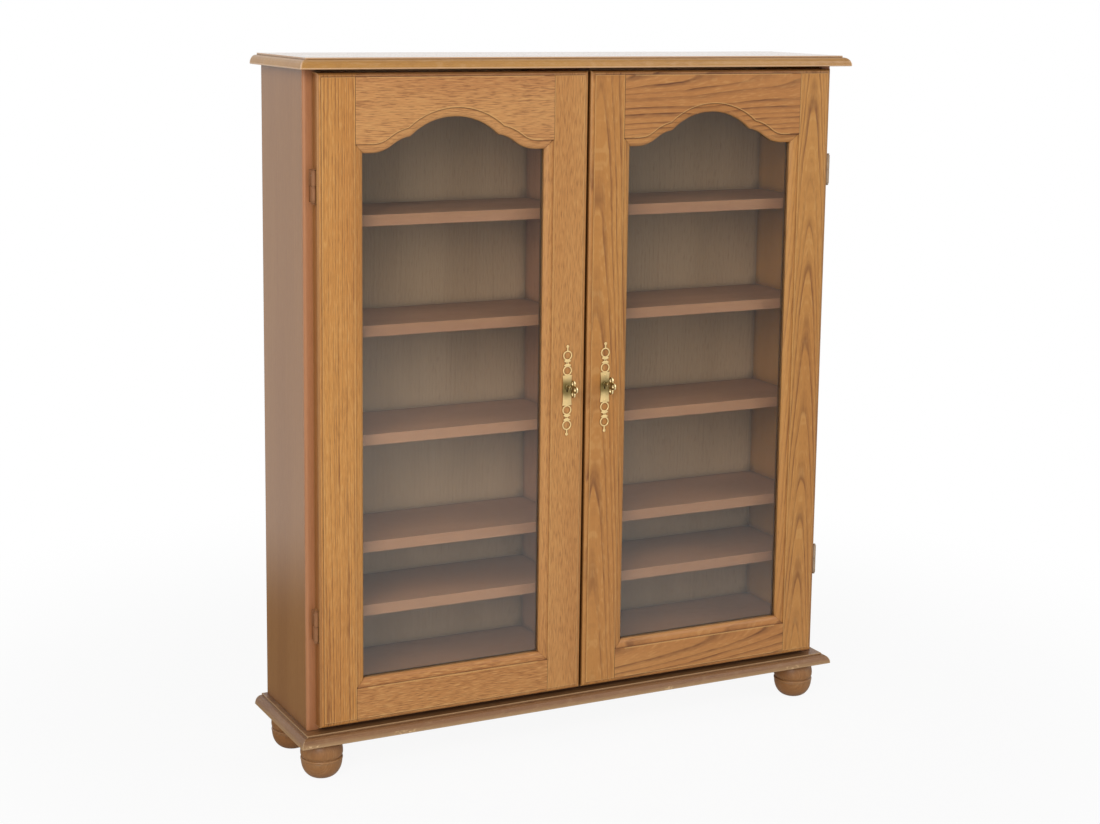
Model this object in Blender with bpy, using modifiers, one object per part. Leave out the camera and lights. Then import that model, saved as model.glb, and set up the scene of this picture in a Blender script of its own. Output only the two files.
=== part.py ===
"""Display cabinet on bun feet, with two arched glass doors that lock with brass keys.

X runs to the right, Y to the back and Z up, in metres. The doors' front faces lie on y = 0 of the
cabinet's own empty, and that empty stands so that the origin is under the middle of the whole cabinet.
Across the cabinet, u is the distance from the middle line, so a left piece and its right twin share it.
"""
import math

import bmesh
import bpy
from mathutils import Matrix, Vector

MM = 0.001
LEFT, RIGHT = -1, 1
SIDES = {"left": LEFT, "right": RIGHT}

# Fits between pieces
SEAT_GAP = 0.3 * MM
SLIDE_GAP = 0.3 * MM
PIN_GAP = 0.08 * MM
MORTISE_GAP = 0.8 * MM
CUT_MARGIN = 5 * MM

# Doors
DOOR_HEIGHT = 943 * MM
DOOR_WIDTH = 423 * MM
DOOR_THICKNESS = 20 * MM
DOOR_BACK_GAP = 1.3 * MM
DOOR_TOP_GAP = 4.7 * MM
DOOR_BOTTOM_GAP = 8.2 * MM
MEETING_GAP = 4 * MM
STILE_FACE = 56 * MM
BOTTOM_RAIL_FACE = 52 * MM
TOP_RAIL_DEPTH = 113 * MM

# Moulding round the glass, cut on the stiles and rails
STICKING_WIDTH = 13.5 * MM
STICKING_DEPTH = 9 * MM
QUIRK_WIDTH = 0.5 * MM
QUIRK_DEPTH = 2.2 * MM
STICKING_STEPS = 5

# Rounded outer edge of each door, with a fine step beside it
EDGE_WIDTH = 6.5 * MM
EDGE_DEPTH = 5 * MM
EDGE_STEP_WIDTH = 0.4 * MM
EDGE_STEP_DEPTH = 1.6 * MM
EDGE_STEPS = 3

# Arch of the top rail: a middle arc between two cusps, and shoulders that flare out to a short flat
ARCH_RISE = 49.5 * MM
SHOULDER_RADIUS = 57 * MM
FLARE_RADIUS = 52 * MM
CUSP_ANGLE = math.radians(8)
FLARE_ANGLE = math.radians(38)
ARCH_FLAT = 14 * MM
ARCH_STEPS = 8
SHOULDER_STEPS = 4
FLARE_STEPS = 4

# Glass and the strip that holds it
SIGHT_LIP = 11.5 * MM
REBATE_WIDTH = 9 * MM
GLASS_THICKNESS = 3 * MM
GLASS_EDGE_GAP = 1 * MM

# Carcass
SIDE_THICKNESS = 18 * MM
SIDE_REVEAL = 13 * MM
SIDE_DEPTH = 170.4 * MM
LIPPING_THICKNESS = 5 * MM
LIPPING_ROUND = 4 * MM
LIPPING_ROUND_STEPS = 4
PARTITION_THICKNESS = 18 * MM
BACK_THICKNESS = 4 * MM
BACK_REBATE = 9 * MM
FLOOR_HEIGHT = 45 * MM
FLOOR_THICKNESS = 16 * MM
SHELF_THICKNESS = 16 * MM
SHELF_SETBACK = 20.7 * MM
SHELF_FIRST_HEIGHT = 163 * MM
SHELF_PITCH = 32 * MM
SHELF_STEPS = (0, 3, 8, 13, 18)
HOUSING_DEPTH = 5 * MM

# Top and base boards with a moulded edge on the front and the two ends
TOP_THICKNESS = 16 * MM
TOP_END_OVERHANG = 15.7 * MM
TOP_FRONT_OVERHANG = 14 * MM
BASE_THICKNESS = 16 * MM
BASE_END_OVERHANG = 18.5 * MM
BASE_FRONT_OVERHANG = 10.2 * MM
BOARD_BACK_OVERHANG = 5 * MM
NOSE_ROUND = 1 * MM
OVOLO_REACH = 10 * MM
BOARD_LEDGE = 1 * MM
BOARD_LEDGE_RISE = 0.2 * MM
BOARD_STEP = 2.4 * MM
OVOLO_STEPS = 5

# Bun feet
FOOT_HEIGHT = 58.7 * MM
FOOT_RADIUS = 31.1 * MM
FOOT_BASE_RADIUS = 10 * MM
FOOT_BOWL_HEIGHT = 26.6 * MM
FOOT_BEAD_HEIGHT = 3.6 * MM
FOOT_LINE_DEPTH = 0.7 * MM
FOOT_LINE_HEIGHT = 0.8 * MM
FOOT_NOTCH_DEPTH = 2 * MM
FOOT_NOTCH_HEIGHT = 1.6 * MM
FOOT_DRUM_RADIUS = 31.3 * MM
FOOT_DRUM_WIDEST = 38 * MM
FOOT_NECK_RADIUS = 21 * MM
FOOT_END_SETBACK = 44.5 * MM
FOOT_FRONT_SETBACK = 42 * MM
FOOT_BACK_SETBACK = 42 * MM
SPIGOT_RADIUS = 6 * MM
SPIGOT_LENGTH = 10 * MM
FOOT_SEGMENTS = 28
FOOT_BOWL_STEPS = 6
FOOT_DRUM_STEPS = 5
FOOT_DRUM_FOOT_STEPS = 3

# Knuckle hinges
HINGE_FROM_TOP = 157 * MM
HINGE_FROM_BOTTOM = 152 * MM
HINGE_LENGTH = 45 * MM
HINGE_RADIUS = 3 * MM
HINGE_PIN_RADIUS = 1.6 * MM
HINGE_PIN_REACH = 17 * MM
HINGE_AXIS_OUT = 3.4 * MM
HINGE_AXIS_FORWARD = 14.3 * MM
KNUCKLE_GAP = 0.4 * MM
FINIAL_LENGTH = 2.6 * MM
FINIAL_RADIUS = 2.5 * MM
FINIAL_NECK_RADIUS = 2 * MM
FINIAL_STEPS = 4
LEAF_THICKNESS = 1.5 * MM
FRAME_LEAF_WIDTH = 8 * MM
DOOR_LEAF_WIDTH = 11.5 * MM
DOOR_LEAF_LEAD = 1.4 * MM
LEAF_WEB = 2 * MM
HINGE_SEGMENTS = 20

# Lock, key and key plate
KEY_U = 32 * MM
KEY_HEIGHT = 474 * MM
LOCK_WIDTH = 37 * MM
LOCK_THICKNESS = 12 * MM
LOCK_ABOVE_KEY = 22 * MM
LOCK_BELOW_KEY = 38 * MM
LOCK_WALL = 2 * MM
LOCK_PARTITION_GAP = 2 * MM
BOLT_THICKNESS = 4 * MM
BOLT_HEIGHT = 12 * MM
BOLT_LENGTH = 29 * MM
BOLT_THROW = 8 * MM
BOLT_UNDER_KEY = 3.6 * MM
NOTCH_LEAD = 3.6 * MM
NOTCH_TRAIL = 2.2 * MM
NOTCH_DEPTH = 5.8 * MM
KEY_RADIUS = 2.4 * MM
KEY_HOLE_GAP = 0.5 * MM
KEY_BIT_REACH = 8.6 * MM
KEY_BIT_THICKNESS = 2.5 * MM
KEY_BIT_LENGTH = 6.5 * MM
KEY_COLLAR_RADIUS = 3.9 * MM
KEY_COLLAR_LENGTH = 2.5 * MM
KEY_REACH = 34 * MM
KEY_SEGMENTS = 16
BOW_THICKNESS = 2.6 * MM
BOW_CORE_RADIUS = 6.5 * MM
BOW_LOBE_RADIUS = 5.5 * MM
BOW_LOBE_OFFSET = 8 * MM
BOW_HOLE_RADIUS = 2.9 * MM
BOW_SEGMENTS = 48
HOLE_SEGMENTS = 14
PLATE_THICKNESS = 1.2 * MM
PLATE_DROP = 5.5 * MM
PLATE_HALF_LENGTH = 69 * MM
PLATE_SHIELD_HALF_LENGTH = 23 * MM
PLATE_SHIELD_HALF_WIDTH = 7.8 * MM
PLATE_RING_RADIUS = 7.5 * MM
PLATE_RING_HOLE = 5.6 * MM
PLATE_NEAR_RING = 30 * MM
PLATE_FAR_RING = 53 * MM
PLATE_ARM_RADIUS = 1.7 * MM
PLATE_ARM_REACH = 4.5 * MM
PLATE_ARM_OFFSET = 3.3 * MM
PLATE_NECK = 2.2 * MM
PLATE_STEM = 1.1 * MM
PLATE_BUD_RADIUS = 2.3 * MM
PLATE_SAMPLE = 1.25 * MM
RING_SEGMENTS = 20

# Levels above the floor, and depths behind the doors' front faces
BASE_LOW = FOOT_HEIGHT + SEAT_GAP
BASE_HIGH = BASE_LOW + BASE_THICKNESS
DOOR_LOW = BASE_HIGH + DOOR_BOTTOM_GAP
DOOR_HIGH = DOOR_LOW + DOOR_HEIGHT
TOP_LOW = DOOR_HIGH + DOOR_TOP_GAP
FLOOR_HIGH = DOOR_LOW + FLOOR_HEIGHT
SHELF_HIGHS = [DOOR_LOW + SHELF_FIRST_HEIGHT + step * SHELF_PITCH for step in SHELF_STEPS]
SIGHT_LOW = DOOR_LOW + BOTTOM_RAIL_FACE + STICKING_WIDTH
SPRING = DOOR_HIGH - TOP_RAIL_DEPTH
KEY_Z = DOOR_LOW + KEY_HEIGHT

CARCASS_FRONT = DOOR_THICKNESS + DOOR_BACK_GAP
SIDE_FRONT = CARCASS_FRONT + LIPPING_THICKNESS + SEAT_GAP
CARCASS_BACK = SIDE_FRONT + SIDE_DEPTH
BACK_FRONT = CARCASS_BACK - BACK_THICKNESS
INNER_BACK = BACK_FRONT - SEAT_GAP
SHELF_FRONT = CARCASS_FRONT + SHELF_SETBACK
BOARD_BACK = CARCASS_BACK + BOARD_BACK_OVERHANG
MIDDLE_Y = (BOARD_BACK - max(KEY_REACH, TOP_FRONT_OVERHANG, BASE_FRONT_OVERHANG)) / 2

# Distances u from the middle line
DOOR_INNER = MEETING_GAP / 2
DOOR_OUTER = DOOR_INNER + DOOR_WIDTH
SIGHT_INNER = DOOR_INNER + STILE_FACE + STICKING_WIDTH
SIGHT_OUTER = DOOR_OUTER - STILE_FACE - STICKING_WIDTH
SIGHT_MIDDLE = (SIGHT_INNER + SIGHT_OUTER) / 2
SIGHT_HALF = (SIGHT_OUTER - SIGHT_INNER) / 2
SIDE_OUTER = DOOR_OUTER + SIDE_REVEAL
SIDE_INNER = SIDE_OUTER - SIDE_THICKNESS
PARTITION_U = PARTITION_THICKNESS / 2
HINGE_U = DOOR_OUTER + HINGE_AXIS_OUT
HINGE_Y = CARCASS_FRONT - HINGE_AXIS_FORWARD
HINGE_HEIGHTS = {"top": DOOR_HIGH - HINGE_FROM_TOP, "bottom": DOOR_LOW + HINGE_FROM_BOTTOM}

# Lock levels and depths
LOCK_FRONT = DOOR_THICKNESS + SEAT_GAP
LOCK_BACK = LOCK_FRONT + LOCK_THICKNESS
LOCK_NEAR = PARTITION_U + LOCK_PARTITION_GAP
CHAMBER_FRONT = LOCK_FRONT + LOCK_WALL
CHAMBER_BACK = LOCK_BACK - LOCK_WALL
CHAMBER_RADIUS = math.hypot(KEY_BIT_REACH, KEY_BIT_THICKNESS / 2) + SLIDE_GAP
BOLT_BACK = CHAMBER_BACK - SLIDE_GAP
BOLT_FRONT = BOLT_BACK - BOLT_THICKNESS
BOLT_HIGH = KEY_Z - BOLT_UNDER_KEY
BOLT_LOW = BOLT_HIGH - BOLT_HEIGHT
BOLT_NEAR = LOCK_NEAR + SLIDE_GAP

# Colours as red, green and blue from 0 to 255, with roughness and metallic values
FINISHES = {
    "oak": ((196, 140, 84), 0.45, 0.0),
    "top_oak": ((190, 146, 92), 0.42, 0.0),
    "side_veneer": ((158, 128, 107), 0.4, 0.0),
    "lipping": ((170, 112, 78), 0.45, 0.0),
    "base_wood": ((136, 102, 74), 0.45, 0.0),
    "foot_wood": ((148, 108, 76), 0.45, 0.0),
    "inner_board": ((124, 96, 78), 0.5, 0.0),
    "back_board": ((105, 90, 78), 0.6, 0.0),
    "glass": ((225, 228, 224), 0.03, 0.0),
    "strip": ((62, 46, 34), 0.55, 0.0),
    "brass": ((214, 176, 100), 0.25, 1.0),
    "bronze": ((120, 92, 66), 0.4, 1.0),
    "steel": ((170, 168, 160), 0.35, 1.0),
}


def clear_scene():
    for old in list(bpy.data.objects):
        bpy.data.objects.remove(old, do_unlink=True)


def linear(channel):
    share = channel / 255
    return share / 12.92 if share <= 0.04045 else ((share + 0.055) / 1.055) ** 2.4


def finish_material(name):
    colour, roughness, metallic = FINISHES[name]
    material = bpy.data.materials.new(name)
    material.use_nodes = True
    shader = material.node_tree.nodes["Principled BSDF"]
    shader.inputs["Base Color"].default_value = (*map(linear, colour), 1.0)
    shader.inputs["Roughness"].default_value = roughness
    shader.inputs["Metallic"].default_value = metallic
    return material


def make_collection(name):
    collection = bpy.data.collections.new(name)
    bpy.context.scene.collection.children.link(collection)
    return collection


clear_scene()
PARTS = make_collection("display_cabinet")
CUTTERS = make_collection("cabinet_cutters")
MATERIALS = {name: finish_material(name) for name in FINISHES}


def make_empty(name, location, parent=None):
    """An empty at a place of the cabinet's frame. Its own frame is the cabinet's, moved to that place."""
    empty = bpy.data.objects.new(name, None)
    empty.location = location
    if parent:
        empty.parent = parent
        empty.location = Vector(location) - place_of(parent)
    PARTS.objects.link(empty)
    return empty


def place_of(empty):
    """Where an empty stands in the cabinet's frame."""
    place = Vector((0, 0, 0))
    while empty is not CABINET:
        place += empty.location
        empty = empty.parent
    return place


CABINET = make_empty("cabinet", (0, -MIDDLE_Y, 0))


def add_object(name, mesh, parent, location=(0, 0, 0), finish=None):
    """A part when it has a finish, and a cutter or a helper when it has none."""
    obj = bpy.data.objects.new(name, mesh)
    obj.parent = parent
    obj.location = Vector(location) - place_of(parent)
    if finish:
        mesh.materials.append(MATERIALS[finish])
        PARTS.objects.link(obj)
    else:
        obj.hide_render = True
        obj.display_type = "WIRE"
        CUTTERS.objects.link(obj)
    return obj


def mesh_of(name, work):
    mesh = bpy.data.meshes.new(name)
    work.to_mesh(mesh)
    work.free()
    return mesh


def make_box(name, low, high, parent, finish=None):
    low, high = Vector(low), Vector(high)
    size = high - low
    work = bmesh.new()
    bmesh.ops.create_cube(work, size=1, matrix=Matrix.Diagonal((*size, 1)))
    return add_object(name, mesh_of(name, work), parent, (low + high) / 2, finish)


def side_box(name, side, u_range, y_range, z_range, parent, finish=None):
    """A box on one side of the cabinet, between two distances from the middle line."""
    ends = sorted(side * u for u in u_range)
    low = (ends[0], min(y_range), min(z_range))
    high = (ends[1], max(y_range), max(z_range))
    return make_box(name, low, high, parent, finish)


def make_loft(name, rings, parent, finish=None):
    """A closed solid through rings of points, which all have as many points."""
    work = bmesh.new()
    loops = [[work.verts.new(point) for point in ring] for ring in rings]
    work.faces.new(loops[0])
    work.faces.new(loops[-1])
    for loop, following in zip(loops, loops[1:]):
        for i in range(len(loop)):
            j = (i + 1) % len(loop)
            work.faces.new((loop[i], loop[j], following[j], following[i]))
    bmesh.ops.recalc_face_normals(work, faces=work.faces)
    return add_object(name, mesh_of(name, work), parent, (0, 0, 0), finish)


def make_turned(name, profile, segments, parent, location, finish=None):
    """A turned piece about Z. The profile of (radius, height) runs down its outer side."""
    work = bmesh.new()
    points = [work.verts.new((radius, 0, height)) for radius, height in profile]
    for start, end in zip(points, points[1:]):
        work.edges.new((start, end))
    obj = add_object(name, mesh_of(name, work), parent, location, finish)
    screw = obj.modifiers.new("turn", "SCREW")
    screw.steps = segments
    screw.render_steps = segments
    screw.use_merge_vertices = True
    screw.merge_threshold = 0.01 * MM
    screw.use_smooth_shade = True
    return obj


def make_rod(name, radius, y_range, centre_x, centre_z, segments, parent, finish=None):
    """A round rod along Y."""
    length = max(y_range) - min(y_range)
    work = bmesh.new()
    bmesh.ops.create_cone(
        work,
        cap_ends=True,
        segments=segments,
        radius1=radius,
        radius2=radius,
        depth=length,
        matrix=Matrix.Rotation(math.pi / 2, 4, "X"),
    )
    place = (centre_x, sum(y_range) / 2, centre_z)
    return add_object(name, mesh_of(name, work), parent, place, finish)


def make_plate(name, outlines, thickness, turn, parent, location, finish=None):
    """A flat plate with holes: closed outlines of (x, y) points, given a thickness, turned and placed."""
    curve = bpy.data.curves.new(name, "CURVE")
    curve.dimensions = "2D"
    curve.fill_mode = "BOTH"
    curve.extrude = thickness / 2
    for outline in outlines:
        spline = curve.splines.new("POLY")
        spline.points.add(len(outline) - 1)
        spline.use_cyclic_u = True
        for point, (x, y) in zip(spline.points, outline):
            point.co = (x, y, 0, 1)
    drawn = bpy.data.objects.new(name, curve)
    CUTTERS.objects.link(drawn)
    graph = bpy.context.evaluated_depsgraph_get()
    mesh = bpy.data.meshes.new_from_object(drawn.evaluated_get(graph))
    bpy.data.objects.remove(drawn, do_unlink=True)
    work = bmesh.new()
    work.from_mesh(mesh)
    bpy.data.meshes.remove(mesh)
    bmesh.ops.remove_doubles(work, verts=work.verts, dist=0.001 * MM)
    bmesh.ops.transform(work, matrix=turn, verts=work.verts)
    bmesh.ops.recalc_face_normals(work, faces=work.faces)
    return add_object(name, mesh_of(name, work), parent, location, finish)


def combine(obj, other, operation):
    boolean = obj.modifiers.new(f"{operation.lower()}_{other.name}", "BOOLEAN")
    boolean.operation = operation
    boolean.object = other
    boolean.solver = "EXACT"


def cut(obj, *cutters):
    for cutter in cutters:
        combine(obj, cutter, "DIFFERENCE")


def join(obj, *helpers):
    for helper in helpers:
        combine(obj, helper, "UNION")


def circle(radius, segments, centre=(0, 0)):
    turns = [2 * math.pi * i / segments for i in range(segments)]
    return [(centre[0] + radius * math.cos(t), centre[1] + radius * math.sin(t)) for t in turns]


def arc(centre, radius, start, end, steps):
    turns = [start + (end - start) * i / steps for i in range(steps + 1)]
    return [(centre[0] + radius * math.cos(t), centre[1] + radius * math.sin(t)) for t in turns]


def quarter_round(reach, depth, steps):
    """A convex quarter curve as (distance from its outer edge, depth), from its flat start to that edge."""
    turns = [math.pi / 2 * i / steps for i in range(steps + 1)]
    return [(reach * (1 - math.sin(t)), depth * (1 - math.cos(t))) for t in turns]


def read_profile(profile, depth):
    """How far a moulded edge stands back at a depth, between a profile's points."""
    for (start, upper), (end, lower) in zip(profile, profile[1:]):
        if upper <= depth <= lower:
            return start + (end - start) * (depth - upper) / (lower - upper)
    return profile[-1][0]


def moulding(width, depth, step_width, step_depth, steps):
    """A fine step and then a quarter round, as (stand-back from the edge, depth) from the face inwards."""
    curve = quarter_round(width - step_width, depth - step_depth, steps)
    return [(width, 0.0)] + [(back, step_depth + sunk) for back, sunk in curve]


STICKING = moulding(STICKING_WIDTH, STICKING_DEPTH, QUIRK_WIDTH, QUIRK_DEPTH, STICKING_STEPS)
DOOR_EDGE = moulding(EDGE_WIDTH, EDGE_DEPTH, EDGE_STEP_WIDTH, EDGE_STEP_DEPTH, EDGE_STEPS)
DOOR_DEPTHS = sorted({depth for _, depth in STICKING + DOOR_EDGE} | {DOOR_THICKNESS})


def make_board(name, half_width, front, low, thickness, finish):
    """A board whose front and ends are moulded: a small round nose, an ovolo, a ledge and a step."""
    ovolo_high = thickness - BOARD_STEP - BOARD_LEDGE_RISE
    ovolo = quarter_round(OVOLO_REACH, ovolo_high - NOSE_ROUND, OVOLO_STEPS)
    flat_edge = OVOLO_REACH + BOARD_LEDGE
    profile = [(NOSE_ROUND, 0.0)]
    profile += [(inset, ovolo_high - sunk) for inset, sunk in reversed(ovolo)]
    profile += [(flat_edge, thickness - BOARD_STEP), (flat_edge, thickness)]
    rings = []
    for inset, rise in profile:
        x, y, z = half_width - inset, front + inset, low + rise
        rings.append([(-x, y, z), (x, y, z), (x, BOARD_BACK, z), (-x, BOARD_BACK, z)])
    return make_loft(name, rings, CABINET, finish)


def foot_profile():
    """Turned bun foot from its spigot down: a bulging drum, a notch, a bead, a fine line and a bowl."""
    line_high = FOOT_BOWL_HEIGHT + FOOT_LINE_HEIGHT
    bead_high = line_high + FOOT_BEAD_HEIGHT
    drum_low = bead_high + FOOT_NOTCH_HEIGHT
    line_radius = FOOT_RADIUS - FOOT_LINE_DEPTH
    notch_radius = FOOT_RADIUS - FOOT_NOTCH_DEPTH
    points = [(0, FOOT_HEIGHT + SPIGOT_LENGTH), (SPIGOT_RADIUS, FOOT_HEIGHT + SPIGOT_LENGTH)]
    points += [(SPIGOT_RADIUS, FOOT_HEIGHT)]
    for i in range(FOOT_DRUM_STEPS + 1):
        turn = math.pi / 2 * (1 - i / FOOT_DRUM_STEPS)
        radius = FOOT_NECK_RADIUS + (FOOT_DRUM_RADIUS - FOOT_NECK_RADIUS) * math.cos(turn)
        points.append((radius, FOOT_DRUM_WIDEST + (FOOT_HEIGHT - FOOT_DRUM_WIDEST) * math.sin(turn)))
    for i in range(1, FOOT_DRUM_FOOT_STEPS + 1):
        turn = math.pi / 2 * i / FOOT_DRUM_FOOT_STEPS
        radius = notch_radius + (FOOT_DRUM_RADIUS - notch_radius) * math.cos(turn)
        points.append((radius, FOOT_DRUM_WIDEST + (drum_low - FOOT_DRUM_WIDEST) * math.sin(turn)))
    points += [(notch_radius, bead_high)]
    points += [(FOOT_RADIUS - FOOT_LINE_DEPTH / 2, bead_high - FOOT_BEAD_HEIGHT / 3)]
    points += [(FOOT_RADIUS, bead_high - 2 * FOOT_BEAD_HEIGHT / 3)]
    points += [(FOOT_RADIUS - FOOT_LINE_DEPTH / 4, line_high)]
    for i in range(FOOT_BOWL_STEPS + 1):
        turn = math.pi / 2 * i / FOOT_BOWL_STEPS
        radius = FOOT_BASE_RADIUS + (line_radius - FOOT_BASE_RADIUS) * math.cos(turn)
        points.append((radius, FOOT_BOWL_HEIGHT * (1 - math.sin(turn))))
    return points + [(0, 0)]


def make_feet(base):
    half_base = SIDE_OUTER + BASE_END_OVERHANG
    rows = {"front": FOOT_FRONT_SETBACK - BASE_FRONT_OVERHANG, "back": BOARD_BACK - FOOT_BACK_SETBACK}
    for row, y in rows.items():
        for side_name, side in SIDES.items():
            place = (side * (half_base - FOOT_END_SETBACK), y, 0)
            name = f"foot_{row}_{side_name}"
            make_turned(name, foot_profile(), FOOT_SEGMENTS, CABINET, place, "foot_wood")
            hole_radius = SPIGOT_RADIUS + SEAT_GAP
            hole_low, hole_high = FOOT_HEIGHT - CUT_MARGIN, FOOT_HEIGHT + SPIGOT_LENGTH + SEAT_GAP
            hole = [(0, hole_high), (hole_radius, hole_high), (hole_radius, hole_low), (0, hole_low)]
            cut(base, make_turned(f"hole_for_{name}", hole, FOOT_SEGMENTS, CABINET, place))


def housing_cutter(name, side, u_range, high, thickness):
    z_range = (high - thickness - SEAT_GAP, high + SEAT_GAP)
    y_range = (SHELF_FRONT - SEAT_GAP, CARCASS_BACK + CUT_MARGIN)
    return side_box(name, side, u_range, y_range, z_range, CABINET)


def make_side(side_name, side):
    """A side panel with its back rebate and housings, and the lipping on its front edge."""
    side_u = (SIDE_INNER, SIDE_OUTER)
    side_y = (SIDE_FRONT, CARCASS_BACK)
    side_z = (BASE_HIGH + SEAT_GAP, TOP_LOW - SEAT_GAP)
    panel = side_box(f"side_panel_{side_name}", side, side_u, side_y, side_z, CABINET, "side_veneer")
    rebate_u = (SIDE_INNER - CUT_MARGIN, SIDE_INNER + BACK_REBATE)
    rebate_y = (BACK_FRONT - SEAT_GAP, CARCASS_BACK + CUT_MARGIN)
    rebate_z = (BASE_HIGH - CUT_MARGIN, TOP_LOW + CUT_MARGIN)
    cut(panel, side_box(f"back_rebate_{side_name}", side, rebate_u, rebate_y, rebate_z, CABINET))
    housing_u = (SIDE_INNER - CUT_MARGIN, SIDE_INNER + HOUSING_DEPTH)
    for number, high in enumerate(SHELF_HIGHS, start=1):
        name = f"side_housing_{side_name}_{number}"
        cut(panel, housing_cutter(name, side, housing_u, high, SHELF_THICKNESS))
    name = f"floor_housing_{side_name}"
    cut(panel, housing_cutter(name, side, housing_u, FLOOR_HIGH, FLOOR_THICKNESS))

    lipping_y = (CARCASS_FRONT, CARCASS_FRONT + LIPPING_THICKNESS)
    lipping = side_box(f"side_lipping_{side_name}", side, side_u, lipping_y, side_z, CABINET, "lipping")
    round_corner(lipping, side, SIDE_OUTER)
    return lipping


def round_corner(lipping, side, u):
    """Rounds the lipping's front outer edge."""
    work = bmesh.new()
    work.from_mesh(lipping.data)
    centre = lipping.location
    front = min(vert.co.y for vert in work.verts)
    outer = side * u - centre.x
    near = 0.01 * MM
    edges = []
    for edge in work.edges:
        at_edge = all(abs(v.co.y - front) < near and abs(v.co.x - outer) < near for v in edge.verts)
        if at_edge:
            edges.append(edge)
    bmesh.ops.bevel(
        work,
        geom=edges,
        offset=LIPPING_ROUND,
        offset_type="OFFSET",
        segments=LIPPING_ROUND_STEPS,
        profile=0.5,
        affect="EDGES",
    )
    work.to_mesh(lipping.data)
    work.free()


def make_partition():
    """The upright between the two bays, with a housing for each shelf and a mortise for each bolt."""
    low = (-PARTITION_U, CARCASS_FRONT, FLOOR_HIGH + SEAT_GAP)
    high = (PARTITION_U, INNER_BACK, TOP_LOW - SEAT_GAP)
    partition = make_box("centre_partition", low, high, CABINET, "inner_board")
    for side_name, side in SIDES.items():
        housing_u = (PARTITION_U - HOUSING_DEPTH, PARTITION_U + CUT_MARGIN)
        for number, level in enumerate(SHELF_HIGHS, start=1):
            name = f"partition_housing_{side_name}_{number}"
            cut(partition, housing_cutter(name, side, housing_u, level, SHELF_THICKNESS))
        mortise_u = (BOLT_NEAR - BOLT_THROW - MORTISE_GAP, PARTITION_U + CUT_MARGIN)
        mortise_y = (BOLT_FRONT - MORTISE_GAP, BOLT_BACK + MORTISE_GAP)
        mortise_z = (BOLT_LOW - MORTISE_GAP, BOLT_HIGH + MORTISE_GAP)
        name = f"bolt_mortise_{side_name}"
        cut(partition, side_box(name, side, mortise_u, mortise_y, mortise_z, CABINET))


def make_inside():
    """Floor, plinth, back and the shelves of both bays."""
    housed = SIDE_INNER + HOUSING_DEPTH - SEAT_GAP
    low = (-housed, SHELF_FRONT, FLOOR_HIGH - FLOOR_THICKNESS)
    make_box("floor_panel", low, (housed, INNER_BACK, FLOOR_HIGH), CABINET, "inner_board")
    between = SIDE_INNER - SEAT_GAP
    low = (-between, CARCASS_FRONT, BASE_HIGH + SEAT_GAP)
    make_box("plinth_rail", low, (between, SHELF_FRONT - SEAT_GAP, FLOOR_HIGH), CABINET, "inner_board")
    rebated = SIDE_INNER + BACK_REBATE - SEAT_GAP
    low = (-rebated, BACK_FRONT, BASE_HIGH + SEAT_GAP)
    make_box("back_panel", low, (rebated, CARCASS_BACK, TOP_LOW - SEAT_GAP), CABINET, "back_board")
    shelf_u = (PARTITION_U - HOUSING_DEPTH + SEAT_GAP, housed)
    for side_name, side in SIDES.items():
        for number, high in enumerate(SHELF_HIGHS, start=1):
            z_range = (high - SHELF_THICKNESS, high)
            name = f"shelf_{side_name}_{number}"
            side_box(name, side, shelf_u, (SHELF_FRONT, INNER_BACK), z_range, CABINET, "inner_board")


def ring_across(depth, side, u_low, u_high, z_low, z_high):
    """A rectangle across the front of the cabinet, at a depth."""
    corners = ((u_low, z_low), (u_high, z_low), (u_high, z_high), (u_low, z_high))
    return [(side * u, depth, z) for u, z in corners]


def stile_rings(side, edge_u, sight_u, z_low, z_high, edge):
    """Rings of a stile. Its outer edge and ends follow the door's edge, and its inner edge the sticking."""
    inward = math.copysign(1, sight_u - edge_u)
    rings = []
    for depth in DOOR_DEPTHS:
        inset = read_profile(edge, depth)
        outer = edge_u + inward * inset
        inner = sight_u - inward * read_profile(STICKING, depth)
        rings.append(ring_across(depth, side, outer, inner, z_low + inset, z_high - inset))
    return rings


def arch_outline(offset):
    """The top rail's lower edge as (distance from the arch's middle, height over the springing).

    The outline runs from the middle to the flat's start, at an offset into the wood. The middle arc
    and the shoulder meet in a cusp, and the shoulder and the flare run into each other.
    """
    flare_centre = Vector((SIGHT_HALF - ARCH_FLAT, FLARE_RADIUS))
    slant = Vector((math.sin(FLARE_ANGLE), math.cos(FLARE_ANGLE)))
    shoulder_centre = flare_centre - (SHOULDER_RADIUS + FLARE_RADIUS) * slant
    cusp = shoulder_centre + SHOULDER_RADIUS * Vector((math.sin(CUSP_ANGLE), math.cos(CUSP_ANGLE)))
    crown = ARCH_RISE - cusp.y
    arch_radius = (cusp.x ** 2 + crown ** 2) / (2 * crown)
    arch_centre = Vector((0, ARCH_RISE - arch_radius))

    outer_arch, outer_shoulder = arch_radius + offset, SHOULDER_RADIUS + offset
    meeting = circles_meet(arch_centre, outer_arch, shoulder_centre, outer_shoulder)
    arch_end = math.atan2(meeting.y - arch_centre.y, meeting.x)
    shoulder_start = math.atan2(meeting.y - shoulder_centre.y, meeting.x - shoulder_centre.x)
    slant_turn = math.pi / 2 - FLARE_ANGLE
    points = arc(arch_centre, outer_arch, math.pi / 2, arch_end, ARCH_STEPS)
    points += arc(shoulder_centre, outer_shoulder, shoulder_start, slant_turn, SHOULDER_STEPS)[1:]
    flare_turns = (slant_turn - math.pi, -math.pi / 2)
    points += arc(flare_centre, FLARE_RADIUS - offset, *flare_turns, FLARE_STEPS)[1:]
    return points


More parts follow.
